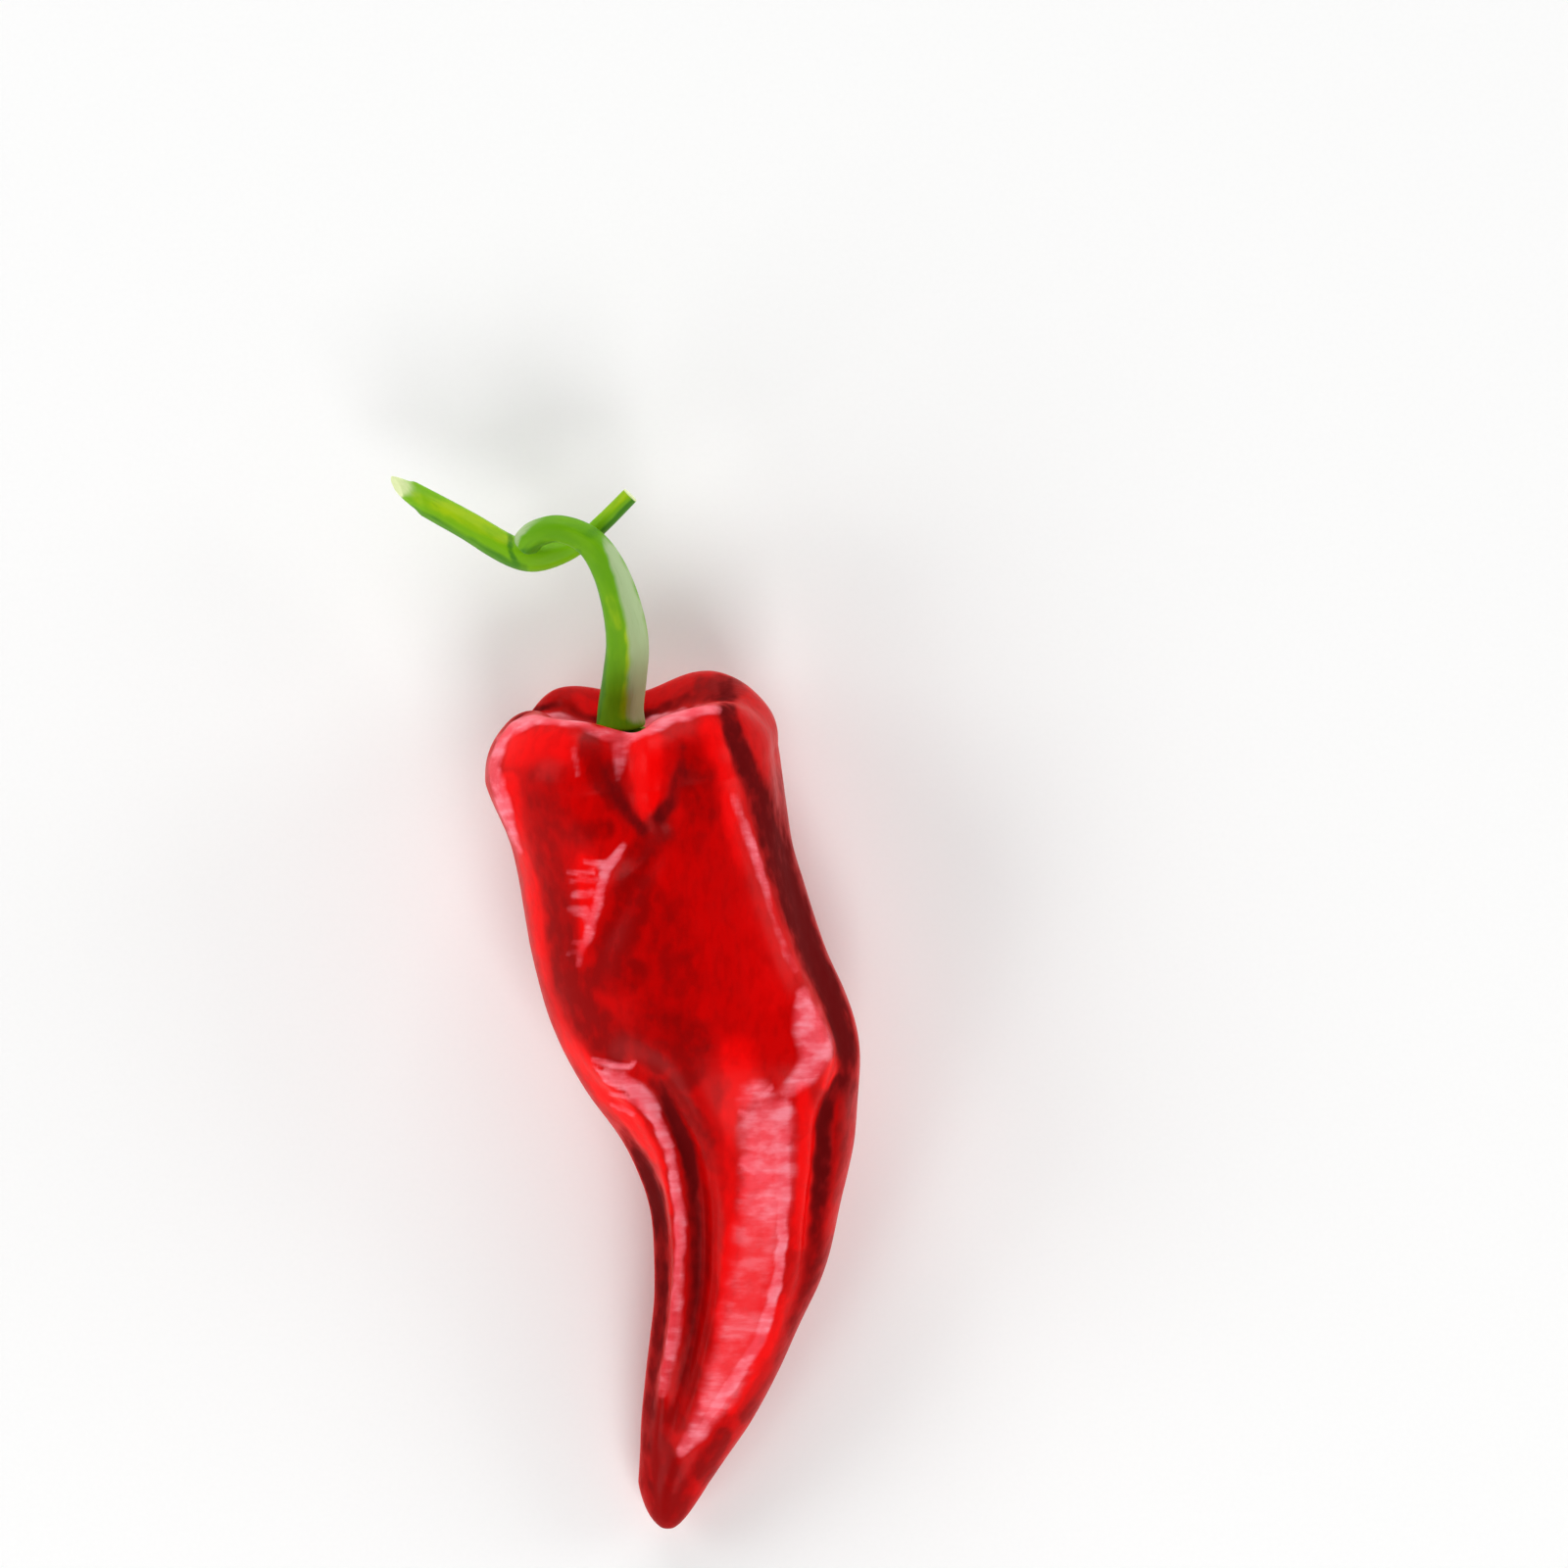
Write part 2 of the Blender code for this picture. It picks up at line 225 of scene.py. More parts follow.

# Tones that lie along the pod's lobes, as strokes laid from above: (x, y, strength, half-width).
# Painted light: brighter red where the lobes stand out towards the light.
LIT_LOBE_STROKES = [
    # left lobe of the crown
    [(-13.6, 33, 0.9, 2.4), (-9, 33.5, 0.9, 2.6)],
    # left edge, and on down the outside of the cord
    [(-14.8, 29, 0.8, 1.3), (-13.8, 22, 0.6, 1), (-11.8, 14, 0.8, 1.1), (-10.7, 8, 0.9, 1.1),
     (-9, 1, 0.5, 1), (-6.8, -5, 0.9, 1.3), (-2.6, -10.5, 1, 1.4), (0, -13.4, 1, 1.2), (2, -16, 0.9, 1.1),
     (4.1, -19.5, 0.8, 0.7), (4.9, -23, 0.7, 0.45), (5.4, -26, 0.5, 0.4)],
    # wedge
    [(2.4, 33.2, 1, 2.3), (2.7, 29, 1, 2), (2.5, 26, 0.9, 1.4), (2.2, 24.6, 0.6, 0.7)],
    # right lobe of the crown, and on down its edge
    [(10.5, 35.6, 0.8, 1.5), (12.3, 31, 0.7, 1.3), (13, 28, 0.9, 1.2), (13.4, 23, 0.8, 1.1),
     (14.8, 18, 0.4, 1.2)],
    # left side of the tail's ridge
    [(14, -5.5, 0.8, 2.4), (15, -9.5, 1, 2.2), (13, -13, 0.9, 1.1), (13, -18, 0.4, 0.9),
     (13.1, -24, 0.5, 0.9), (13.2, -30, 1, 1), (12.7, -36, 0.8, 1.1), (11.8, -42, 0.8, 1)],
    # between the tail's ridge and the right seam
    [(22.3, -10, 0.8, 0.9), (22.7, -14, 0.9, 1), (22.5, -20, 0.9, 1), (22.2, -25, 0.9, 1),
     (21.6, -30, 0.7, 0.9)],
    [(19.9, -37, 0.6, 0.8), (17.9, -43, 0.9, 0.9), (15.5, -47.5, 0.8, 0.8), (13, -51.5, 0.7, 0.7)],
    # below the knee
    [(26.4, -6.6, 0.9, 0.8), (25.3, -9.4, 0.8, 0.9)],
    # tail's ridge
    [(17.5, -16, 0.6, 2.6), (16.6, -28, 1, 2.9), (15.6, -38, 1, 2.9), (13.4, -45, 1, 2.4),
     (10.8, -51, 0.9, 1.6)],
    # slanting fold
    [(-5, 18.2, 0.9, 1.6), (-4.6, 14.5, 0.9, 1.5), (-5, 11, 0.7, 1), (-5.6, 7.6, 0.6, 0.7)],
    # crown's lobe behind the left one
    [(-6.8, 39.6, 0.6, 0.8), (-4.7, 38.3, 1, 1)],
    # between the middle and the right edge
    [(17, 12, 0.35, 3), (18, 2, 0.35, 3.5)],
]
# Painted shade: darker red where the lobes turn from the light, beside the wedge and fold, at the tip and on
# the flanks, with darker mottling down the middle.
SHADE_AND_MOTTLE_STROKES = [
    # left of the wedge
    [(-4.8, 34, 0.9, 1.3), (-3.6, 29.5, 1, 1.7), (-1.8, 26.4, 0.8, 1.2)],
    # right of the wedge
    [(7.8, 32.5, 0.8, 1.4), (8.6, 29, 0.9, 2.4), (9.6, 25, 0.7, 2), (8, 21, 0.4, 2)],
    # right of the slanting fold
    [(4.4, 22.4, 0.8, 2), (1.6, 19.6, 0.8, 2), (1, 14.5, 1, 2.8), (-0.2, 10.5, 1, 2.6), (-1.9, 7.5, 1, 2.2),
     (-2.2, 4.8, 1, 2)],
    # left of the fold
    [(-10.6, 22, 0.6, 1.8), (-8.8, 15, 0.8, 1.8), (-8.2, 8, 1, 1.9), (-7.2, 3, 1, 2.3), (-5, -1, 0.9, 2.6),
     (-1.5, -4.5, 0.9, 2.6)],
    # below the fold
    [(-4.5, 4, 0.8, 2), (0.5, 4.5, 0.9, 2.5)],
    # the middle
    [(5, 13, 0.6, 3), (6, 4, 0.6, 4), (4, -2, 0.7, 4), (8, -4.5, 0.9, 3.2), (7, -9, 0.9, 2)],
    # beside the cord, from its top to the tip
    [(1.6, -4.8, 0.8, 1.3), (4.2, -7, 1, 1.4)],
    [(4.2, -9.7, 0.9, 1), (7.4, -12, 0.9, 1.4), (10, -16.5, 0.9, 1.3), (10.2, -22, 0.3, 1.2),
     (10, -31, 0.7, 1.2), (9.8, -37, 0.5, 1.3), (9, -43, 0.8, 1.3), (7.6, -48.5, 1, 1.2), (6, -53, 1, 1.4)],
    # tip
    [(4, -51, 0.9, 1.2), (3.8, -56, 1, 1.6), (5, -61, 1, 2.8), (5.3, -67, 1, 3)],
    [(12.2, -54.5, 0.9, 1), (9.6, -59.5, 1, 1.8)],
    # tail's right flank
    [(14.8, -52.5, 0.9, 0.8), (18.4, -48, 0.6, 0.8), (22.5, -38, 0.8, 1.2), (25.5, -30, 0.7, 1.2)],
    # crown's lobe behind the right one
    [(9.5, 41.2, 0.9, 1.2), (13.5, 41, 1, 1.6)],
    # right flank
    [(20.5, 28, 0.8, 3), (24, 15, 0.8, 3), (28, 2, 0.6, 2)],
    [(28.2, -10, 0.9, 1.3), (27.6, -14, 0.9, 1.2), (26.8, -19, 0.7, 1), (26, -24, 0.6, 1)],
    # left lobe
    [(-10.5, 30, 0.5, 2.4), (-10.2, 25.5, 0.6, 2.8), (-7, 22.5, 0.5, 2), (-2.6, 23, 0.7, 1.4)],
    # right of the middle
    [(10, 19, 0.2, 4), (12, 10, 0.15, 4.5), (12, 2, 0.2, 4.5)],
]
# Painted shade: maroon in the furrows, beside the wedge, behind the crown's rim and on the flanks turned from
# the light.
DEEP_SHADE_STROKES = [
    # furrow beside the cord
    [(3.4, -9, 0.4, 0.9), (5.6, -13, 0.7, 1), (7.5, -17.5, 0.8, 0.9), (8.35, -24, 0.55, 0.75),
     (8.5, -30, 0.5, 0.8), (8.3, -36, 0.45, 0.8), (7.6, -42, 0.3, 0.8), (6.2, -49, 0.2, 0.8)],
    # tail's left flank
    [(-0.5, -16, 0.4, 1), (1.9, -20.5, 0.9, 1.2), (3.5, -25, 1, 1.3), (4, -31, 0.6, 1.1),
     (4, -36, 0.7, 1.2), (3.6, -42, 0.6, 1.2), (2.6, -50, 0.6, 1.1), (1.8, -58, 0.5, 1),
     (2.3, -64, 0.4, 1.2)],
    # right seam
    [(27.6, -8.6, 0.8, 1.1), (26, -10.6, 0.7, 1), (25.1, -13, 0.8, 1), (25.1, -16, 0.8, 1.1),
     (24.8, -21, 0.75, 1.1), (24.5, -26, 0.6, 1.1), (24, -31, 0.5, 1.2), (22.9, -37, 0.4, 1.2),
     (20.9, -42, 0.3, 1.2)],
    # right flank
    [(12.4, 42, 0.6, 1.1), (12.7, 38, 0.9, 1.1), (13.7, 34.5, 1, 1.2), (15.1, 31, 1, 1.3),
     (16.4, 28, 0.9, 1.5), (18.2, 23, 1, 1.7), (19.5, 18, 1, 1.8), (22, 11, 1, 1.8), (24, 6.5, 1, 1.8),
     (26.4, 1, 1, 1.8), (28, -5, 1, 1.6), (28, -9.5, 0.6, 1.4)],
    # both sides of the wedge
    [(-2.2, 30.5, 0.3, 1), (-1.2, 27, 0.35, 1), (0.4, 24.6, 0.4, 0.8), (2, 22.8, 0.5, 0.8)],
    [(6.8, 33, 0.3, 0.9), (7, 30, 0.5, 0.9), (6, 27, 0.5, 0.9), (4.3, 24.4, 0.5, 0.8)],
    # behind the rim of the crown
    [(-17.7, 32.5, 0.4, 0.45), (-16.9, 35, 0.8, 0.5), (-15.4, 36.8, 0.95, 0.55), (-13.2, 38, 0.95, 0.55),
     (-11.5, 38.5, 0.8, 0.5), (-8.5, 38.9, 0.4, 0.4), (-5.5, 37.3, 0.3, 0.4), (-3.6, 36.6, 0.7, 0.6)],
    [(-2.2, 36.3, 0.6, 0.6), (1.8, 36.9, 0.7, 0.8), (4.5, 38.4, 0.6, 0.7), (8, 39.6, 0.5, 0.6),
     (12.5, 39.6, 0.6, 0.7)],
]
# Painted highlights: pale pink streaks, hatched with lighter glints, where the ridges and rims catch the
# light.
PAINTED_HIGHLIGHT_STROKES = [
    # cord
    [(-2.6, -8, 0.7, 0.6), (-0.6, -8.6, 0.9, 0.9), (1.1, -10.2, 1.1, 1.1), (2.6, -12, 1.2, 1),
     (4, -14.2, 1.2, 0.7), (5, -17, 1.1, 0.8), (5.8, -20, 1, 0.6), (6.1, -22, 1.1, 0.6),
     (6.6, -26, 1.2, 0.7), (6.7, -31, 1.1, 0.6), (6.2, -36, 0.75, 0.85), (5.8, -41, 0.7, 1),
     (5.1, -45.5, 0.65, 1), (4.3, -49.5, 0.35, 0.6)],
    # brush marks at its top
    [(-4.3, -6.2, 0.7, 0.35), (-1.8, -6.9, 0.9, 0.5), (0.4, -7.1, 0.9, 0.5), (1.2, -6.5, 0.7, 0.35)],
    [(-4.2, -7.1, 0.5, 0.3), (-2.6, -8.8, 0.8, 0.4), (-0.8, -9.8, 0.8, 0.5)],
    [(-2.2, -10.7, 0.6, 0.35), (-0.4, -11.1, 0.8, 0.4), (1.2, -11.8, 0.8, 0.4)],
    [(-2, -12.3, 0.5, 0.3), (-0.6, -12.6, 0.7, 0.35), (0.8, -13.3, 0.6, 0.3)],
    # ridge down the tail
    [(16.4, -11.2, 0.7, 2.4), (17.7, -14, 0.9, 3.3), (17.8, -20, 0.9, 3.2), (17.4, -25, 0.8, 3.2),
     (16.5, -30, 0.45, 3.3), (15.6, -35, 0.45, 3.4), (14.7, -40, 0.5, 3.4), (13.4, -45, 0.55, 2.8),
     (11.2, -50, 0.6, 2.2), (8.9, -54, 0.8, 1.3), (6.7, -56.8, 0.7, 0.7)],
    # its crisp right side
    [(19.6, -12.5, 0.9, 1.3), (19.6, -18, 1.1, 1.2), (19.6, -25, 1.1, 0.9), (19.7, -29, 1.1, 0.7),
     (19.3, -33, 1.1, 0.7), (18.4, -37.5, 1, 0.7), (16.8, -42, 0.95, 0.9), (14.5, -46, 1, 0.9),
     (11.8, -50, 1, 0.8), (8.8, -54.4, 0.9, 0.7)],
    # brush marks across its top
    [(14.2, -11.2, 0.8, 0.4), (17, -11.2, 1, 0.5), (18.4, -9.8, 0.7, 0.4)],
    [(14.4, -13, 0.9, 0.5), (17, -14.6, 0.8, 0.6)],
    [(15.4, -19, 1.2, 1.2), (17.4, -21, 1.3, 1), (18.6, -20.6, 1.2, 0.6)],
    # knee at the lower end of the right edge
    [(22.2, 2, 0.7, 0.9), (23, -1, 1, 1.8), (23.8, -4.2, 1.1, 2.2), (23.5, -6.6, 1, 1.8),
     (22, -8.8, 0.9, 1.3), (20.2, -10.4, 0.6, 0.9)],
    # edge down the right
    [(13.5, 27, 0.4, 0.6), (15, 23, 0.6, 0.7), (16.3, 19.5, 0.9, 0.7), (17.5, 15.5, 0.6, 0.6),
     (18.6, 11.5, 0.3, 0.5), (20.3, 7, 0.4, 0.6), (21.3, 5, 0.5, 0.6)],
    # slanting fold
    [(-0.3, 20.9, 0.5, 0.4), (-1.2, 19.4, 0.8, 0.5), (-2.7, 18, 0.7, 0.6), (-3.1, 16, 0.8, 0.6),
     (-3.6, 13.5, 0.8, 0.6), (-4.4, 11, 0.7, 0.7), (-5, 8.6, 0.6, 0.6), (-5.9, 7.2, 0.6, 0.5),
     (-6.1, 5.6, 0.5, 0.4)],
    # brush marks left of the fold
    [(-5.2, 18.8, 0.5, 0.35), (-3, 18.4, 0.7, 0.5)],
    [(-7.3, 17.5, 0.45, 0.4), (-4.2, 17.4, 0.6, 0.4)],
    [(-7, 16.3, 0.4, 0.4), (-3.8, 16.4, 0.6, 0.4)],
    [(-6.6, 14.6, 0.45, 0.6), (-4.4, 14.8, 0.6, 0.6)],
    [(-7.3, 12.7, 0.3, 0.6), (-5.2, 12.5, 0.6, 0.8), (-4.6, 11.4, 0.6, 0.8)],
    [(-6.9, 8.3, 0.4, 0.4), (-5.8, 8.4, 0.5, 0.4)],
    [(-7.4, 7, 0.4, 0.4), (-6.1, 7.3, 0.5, 0.4)],
    # left lobe
    [(-6.5, 33, 0.3, 0.5), (-6.2, 29.8, 0.35, 0.4)],
    # rim of the crown
    [(-17, 31, 0.9, 0.8), (-16, 34, 1.1, 0.75), (-14.3, 35.7, 1.2, 0.75), (-12, 36.7, 1.2, 0.75),
     (-9, 36.9, 1.3, 0.9), (-6, 36.2, 1, 0.7), (-3.5, 35.1, 0.65, 0.7), (-0.8, 34.5, 0.7, 0.9),
     (1.3, 35.2, 1.1, 1.1), (4, 36.5, 1.3, 1), (7, 37.3, 1.2, 0.8), (10, 38, 1.1, 0.7),
     (11.7, 37.9, 0.6, 0.5)],
    # shoulder
    [(-16.8, 30, 1, 0.9), (-15.9, 26, 1, 0.9), (-14.8, 22.5, 0.8, 0.8), (-13.8, 20, 0.5, 0.6)],
    # beside the wedge
    [(-0.6, 33.6, 0.7, 1.2), (-0.8, 31, 0.45, 0.9), (-1, 29.4, 0.3, 0.6)],
]
TONES = {"bright": LIT_LOBE_STROKES, "shade": SHADE_AND_MOTTLE_STROKES, "deep": DEEP_SHADE_STROKES, "sheen": PAINTED_HIGHLIGHT_STROKES}

# --- The green pieces ------------------------------------------------------------------------------------

# The calyx's rings from the underside over the rim to the middle: (height over the dimple's floor, radius).
CALYX_RINGS = [
    (GAP, 0.5),
    (GAP + 0.05, 1.4),
    (GAP + 0.3, 2.9),
    (GAP + 0.75, 3.95),
    (1.6, 4.6),
    (1.95, 4.72),
    (2.25, 4.5),
    (2.35, 4.1),
    (2.2, 3.5),
    (2.35, 3.0),
    (2.65, 2.4),
    (2.72, 1.2),
]
CALYX_RADIUS = max(radius for _, radius in CALYX_RINGS)
CALYX_TOP = (1.2, 1.9)  # heights between which the plain underside turns into the ribbed top
CALYX_RIBS = 5
CALYX_TOOTH = 0.6  # how much further the rim reaches at a rib than between two
TOOTHED_SHARE = (0.6, 1.0)  # shares of the radius between which the teeth grow
RIB_RISE = 0.25  # how far the ribs stand up
RIB_TONE = 0.4  # how much darker the ribs are

# The stalk's middle line from the calyx to the twig, and its radius at each point: (x, y, z, radius).
STALK_ROUTE = [
    (-1.0, 36.0, 15.7, 3.2),
    (-1.0, 38.3, 16.3, 2.95),
    (-0.5, 42.0, 17.6, 2.85),
    (-0.1, 46.5, 19.3, 2.75),
    (-0.9, 51.5, 20.9, 2.5),
    (-2.6, 56.2, 22.0, 2.2),
    (-5.0, 59.4, 22.7, 1.95),
    (-8.6, 60.9, 22.8, 1.75),
    (-11.6, 60.3, 21.8, 1.75),
    (-13.1, 59.0, 20.15, 1.85),
]
STALK_RIBS = (5, 0.035)  # how many run along the stalk, and their height as a share of its radius

# How the stems' ends are rounded or tapered: (distance from the end, share of the radius).
STALK_FOOT = [(0.0, 0.4), (0.0, 0.85), (0.1, 0.97), (0.3, 1.0)]
STALK_HOOK = [(0.0, 0.4), (0.05, 0.75), (0.25, 0.93), (0.6, 1.0)]
TWIG_TAPER = [(0.0, 0.25), (0.0, 0.5), (0.1, 0.6), (0.5, 0.7), (1.5, 0.86), (2.6, 0.96)]
TWIG_SNIP = [(0.0, 0.45), (0.0, 0.9), (0.04, 0.98), (0.2, 1.0)]

# The twig's middle line from its sloping cut, through the node, to its snipped thin side: same columns.
TWIG_ROUTE = [
    (-28.9, 66.2, 15.6, 1.5),
    (-26.0, 64.6, 15.9, 1.75),
    (-20.5, 61.6, 16.5, 1.85),
    (-15.5, 58.6, 17.0, 1.95),
    (-12.4, 57.5, 17.3, 1.9),
    (-9.2, 58.0, 17.5, 1.7),
    (-6.2, 59.2, 17.8, 1.25),
    (-3.0, 62.0, 18.2, 1.15),
    (0.4, 65.4, 18.7, 1.1),
]
TWIG_CUT = (-0.8, 1.2, 0.9)  # its left cut: how far its middle moves along the twig, its slopes across and up
CUT_REACH = 8.0  # how far along the twig the slope of the cut dies away
CUT_TONE = (0.05, 0.3)  # distances from an end between which the pale tone of a cut fades
TWIG_RIBS = (7, 0.02)
RIB_TWIST = 0.04  # radians that the ribs turn round the stem in each millimetre
STEM_SIDES = 24
CALYX_SIDES = 48
STEM_STEP = 0.9  # between the rings of a stem
ROUTE_STEPS = 200  # places along a stem where its direction is worked out

# A pale grey-green stripe down the stalk's right side, partly a paler ridge and partly painted highlight, and
# painted highlight along the end of its hook.
STALK_LIT_STRIPE = [
    [(-2.9, 59.6, 0.5, 0.5), (-2.2, 58.3, 0.9, 0.7), (-0.5, 55.1, 1, 1), (0.6, 51, 1, 1.2),
     (1.4, 47.5, 1, 1.3), (1.7, 44.3, 1, 1.5), (1.6, 41, 1, 1.5), (1.3, 37.5, 0.9, 1.4)],
    [(-14.2, 58.8, 0.6, 0.4), (-13.8, 60.3, 0.8, 0.5), (-12.4, 61.6, 0.6, 0.5), (-10.5, 62.3, 0.3, 0.4)],
]
STALK_SHADE = [
    [(-4.2, 36.8, 0.8, 0.7), (-3.3, 40, 0.7, 0.6), (-3, 46, 0.6, 0.5), (-3.4, 51, 0.5, 0.5),
     (-4.9, 55, 0.4, 0.5), (-6.3, 58, 0.6, 0.6)],
    [(-13.6, 57.2, 0.9, 0.9), (-11, 58.8, 0.6, 0.6), (-9.4, 59, 0.5, 0.6)],
    [(-4.6, 60.2, 0.5, 0.9), (-3.4, 61, 0.6, 0.6)],
    [(-14.6, 60.5, 0.5, 0.3), (-12.8, 62.3, 0.5, 0.3), (-9, 63.1, 0.5, 0.3), (-5.5, 62.4, 0.5, 0.4),
     (-2.6, 60.8, 0.5, 0.4)],
]
STALK_SUNNY = [
    [(-0.1, 49.5, 0.5, 0.35), (0.1, 46, 0.8, 0.35), (-0.1, 42, 0.7, 0.35), (-0.5, 37.4, 0.9, 0.8)],
    [(-2.2, 52, 0.5, 0.8), (-1.2, 48.5, 0.5, 0.6)],
]
TWIG_CUT_TONE = [[(-30.5, 67.4, 0.9, 1.4), (-28.6, 66.4, 0.7, 1.2), (-27.0, 65.7, 0.25, 0.9)]]
TWIG_SUNNY = [
    [(-27, 65.4, 0.6, 0.8), (-22.5, 63.4, 0.8, 1.1), (-18.5, 61.4, 0.8, 1.1), (-15.3, 59.9, 0.7, 0.9)],
    [(-3.6, 62.4, 0.6, 0.7), (-0.5, 65.4, 1, 0.8), (1.5, 67.4, 1, 0.8)],
]
TWIG_SHADE = [
    [(-27.5, 63.6, 0.6, 0.6), (-24, 61.8, 0.7, 0.6), (-19, 58.9, 0.7, 0.6), (-15.3, 56.7, 0.8, 0.6),
     (-13, 55.8, 0.6, 0.6)],
    [(-14.9, 60.4, 0.7, 0.4), (-14.9, 58.6, 0.8, 0.4), (-14.3, 56.5, 0.9, 0.5)],
    [(-3, 60.8, 0.8, 0.6), (0.6, 64, 1, 0.6), (2, 65.4, 1, 0.6)],
]

# --- The stage -------------------------------------------------------------------------------------------

# Soft lamps round the pepper, in metres: compass angle from +X, elevation, distance, width, height, watts.
LAMPS = {
    "window_below": (-72.0, 46.0, 2.0, 1.1, 1.1, 21.5),
    "window_lower_left": (-136.0, 30.0, 2.0, 0.75, 0.9, 9.2),
    "window_right": (15.0, 16.0, 2.0, 0.85, 1.1, 10.5),
    "window_above": (95.0, 24.0, 2.0, 1.6, 0.8, 20.0),
    "window_left": (165.0, 28.0, 2.0, 1.1, 0.8, 10.0),
}
LAMP_AIM = Vector((0.005, 0.0, 0.015))
CEILING_EDGE = (0.1, 0.7)  # heights, up to 1 straight above, between which the walls turn into the ceiling


def smoothstep(low, high, x):
    t = np.clip((x - low) / (high - low), 0.0, 1.0)
    return t * t * (3 - 2 * t)


def bell(x):
    return np.exp(-np.square(x))


def turn_between(a, b):
    """The smallest angle from b to a, in degrees."""
    return (a - b + 180.0) % 360.0 - 180.0


class Through:
    """A smooth curve through rows of numbers, read at any values of their first column."""

    def __init__(self, rows):
        table = np.array(rows, float)
        table = table[np.argsort(table[:, 0])]
        self.knots, self.values = table[:, 0], table[:, 1:]
        places = np.arange(len(table))
        low, high = np.maximum(places - 1, 0), np.minimum(places + 1, len(table) - 1)
        self.slopes = (self.values[high] - self.values[low]) / (self.knots[high] - self.knots[low])[:, None]

    def __call__(self, at):
        at = np.clip(np.atleast_1d(at), self.knots[0], self.knots[-1])
        i = np.clip(np.searchsorted(self.knots, at, side="right") - 1, 0, len(self.knots) - 2)
        span = (self.knots[i + 1] - self.knots[i])[:, None]
        t = (at - self.knots[i])[:, None] / span
        return (
            (2 * t**3 - 3 * t**2 + 1) * self.values[i]
            + (t**3 - 2 * t**2 + t) * span * self.slopes[i]
            + (3 * t**2 - 2 * t**3) * self.values[i + 1]
            + (t**3 - t**2) * span * self.slopes[i + 1]
        ).T


# --- Modelling -------------------------------------------------------------------------------------------


def extruded_tube(name, rings, sides):
    """A closed straight tube along +Y, extruded from ring to ring: (y, radius across, radius up)."""
    bpy.ops.object.select_all(action="DESELECT")
    y, across, up = rings[0]
    bpy.ops.mesh.primitive_circle_add(
        vertices=sides,
        radius=MM,
        fill_type="TRIFAN",
        location=(0.0, y * MM, 0.0),
        rotation=(math.radians(-90.0), 0.0, 0.0),
    )
    piece = bpy.context.object
    piece.name = piece.data.name = name
    bpy.ops.object.transform_apply(location=True, rotation=True, scale=True)
    bpy.ops.object.mode_set(mode="EDIT")
    bpy.ops.mesh.select_all(action="SELECT")
    bpy.ops.transform.resize(value=(across, 1.0, up), center_override=(0.0, y * MM, 0.0))
    for (y, across, up), (next_y, next_across, next_up) in pairwise(rings):
        bpy.ops.mesh.extrude_region_move(TRANSFORM_OT_translate={"value": (0.0, (next_y - y) * MM, 0.0)})
        bpy.ops.transform.resize(
            value=(next_across / across, 1.0, next_up / up), center_override=(0.0, next_y * MM, 0.0)
        )
    bpy.ops.mesh.select_all(action="SELECT")
    bpy.ops.mesh.normals_make_consistent(inside=False)
    bpy.ops.object.mode_set(mode="OBJECT")
    return piece


def subdivided(piece, levels):
    bpy.ops.object.modifier_add(type="SUBSURF")
    modifier = piece.modifiers[-1]
    modifier.levels = modifier.render_levels = levels
    bpy.ops.object.modifier_apply(modifier=modifier.name)
    bpy.ops.object.shade_smooth()


def drawn_points(piece):
    """The piece's points in the drawing's millimetres, one row each."""
    points = np.empty(len(piece.data.vertices) * 3)
    piece.data.vertices.foreach_get("co", points)
    return points.reshape(-1, 3) / MM


def outward(piece):
    """The direction that each point of the piece faces."""
    normals = np.empty(len(piece.data.vertices) * 3)
    piece.data.vertices.foreach_get("normal", normals)
    return normals.reshape(-1, 3)


def upper_side(piece, fade):
    """1 where the piece faces up, fading to 0 on its sides."""
    return smoothstep(*fade, outward(piece)[:, 2])


def move_points(piece, points):
    piece.data.vertices.foreach_set("co", (points * MM).ravel())
    piece.data.update()


def keep_values(piece, name, values):
    """Keeps one number or one vector for each point, for the material to read."""
    kind, field = ("FLOAT_VECTOR", "vector") if values.ndim == 2 else ("FLOAT", "value")
    piece.data.attributes.new(name, kind, "POINT").data.foreach_set(field, values.ravel())


def strokes_cover(points, strokes):
    """How much the strokes cover each point, seen from above."""
    cover = np.zeros(len(points))
    for stroke in strokes:
        for start, end in pairwise(np.array(stroke, float)):
            way = end[:2] - start[:2]
            share = np.clip((points[:, :2] - start[:2]) @ way / (way @ way), 0.0, 1.0)
            gap = np.linalg.norm(points[:, :2] - start[:2] - share[:, None] * way, axis=1)
            strength, width = (start[2:] + share[:, None] * (end[2:] - start[2:])).T
            cover = np.maximum(cover, strength * (1.0 - smoothstep(*STROKE_EDGE, gap / width)))
    return cover


def wandered(points, distance, length):
    """The points moved about unevenly, so that what is laid on them gets uneven edges."""
    noise.seed_set(WANDER_SEED)
    return points + distance * np.array([noise.noise_vector(Vector(point) / length) for point in points])


def laid_tones(piece, points, tones, fade):
    """How much each tone's strokes cover the points, with wandering edges, on the piece's upper side."""
    above = upper_side(piece, fade)
    canvas = wandered(points, *STROKE_WOBBLE)
    return {name: above * strokes_cover(canvas, strokes) for name, strokes in tones.items()}


def keep_tones(piece, tones):
    for name, values in tones.items():
        keep_values(piece, name, values)


def skin_waves(points, height, length):
    """Uneven waves of the skin at each point."""
    return height * np.array([noise.noise(Vector(point) / length) for point in points])


def join_body(piece, node):
    """The piece stands for that CAD node and rides with the pepper."""
    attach(piece, "root")
    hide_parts(node)


# --- The pod's form --------------------------------------------------------------------------------------

pod_section = Through(POD_SECTIONS)
crease_paths = [(notch, Through(path)) for notch, path in CREASES.values()]


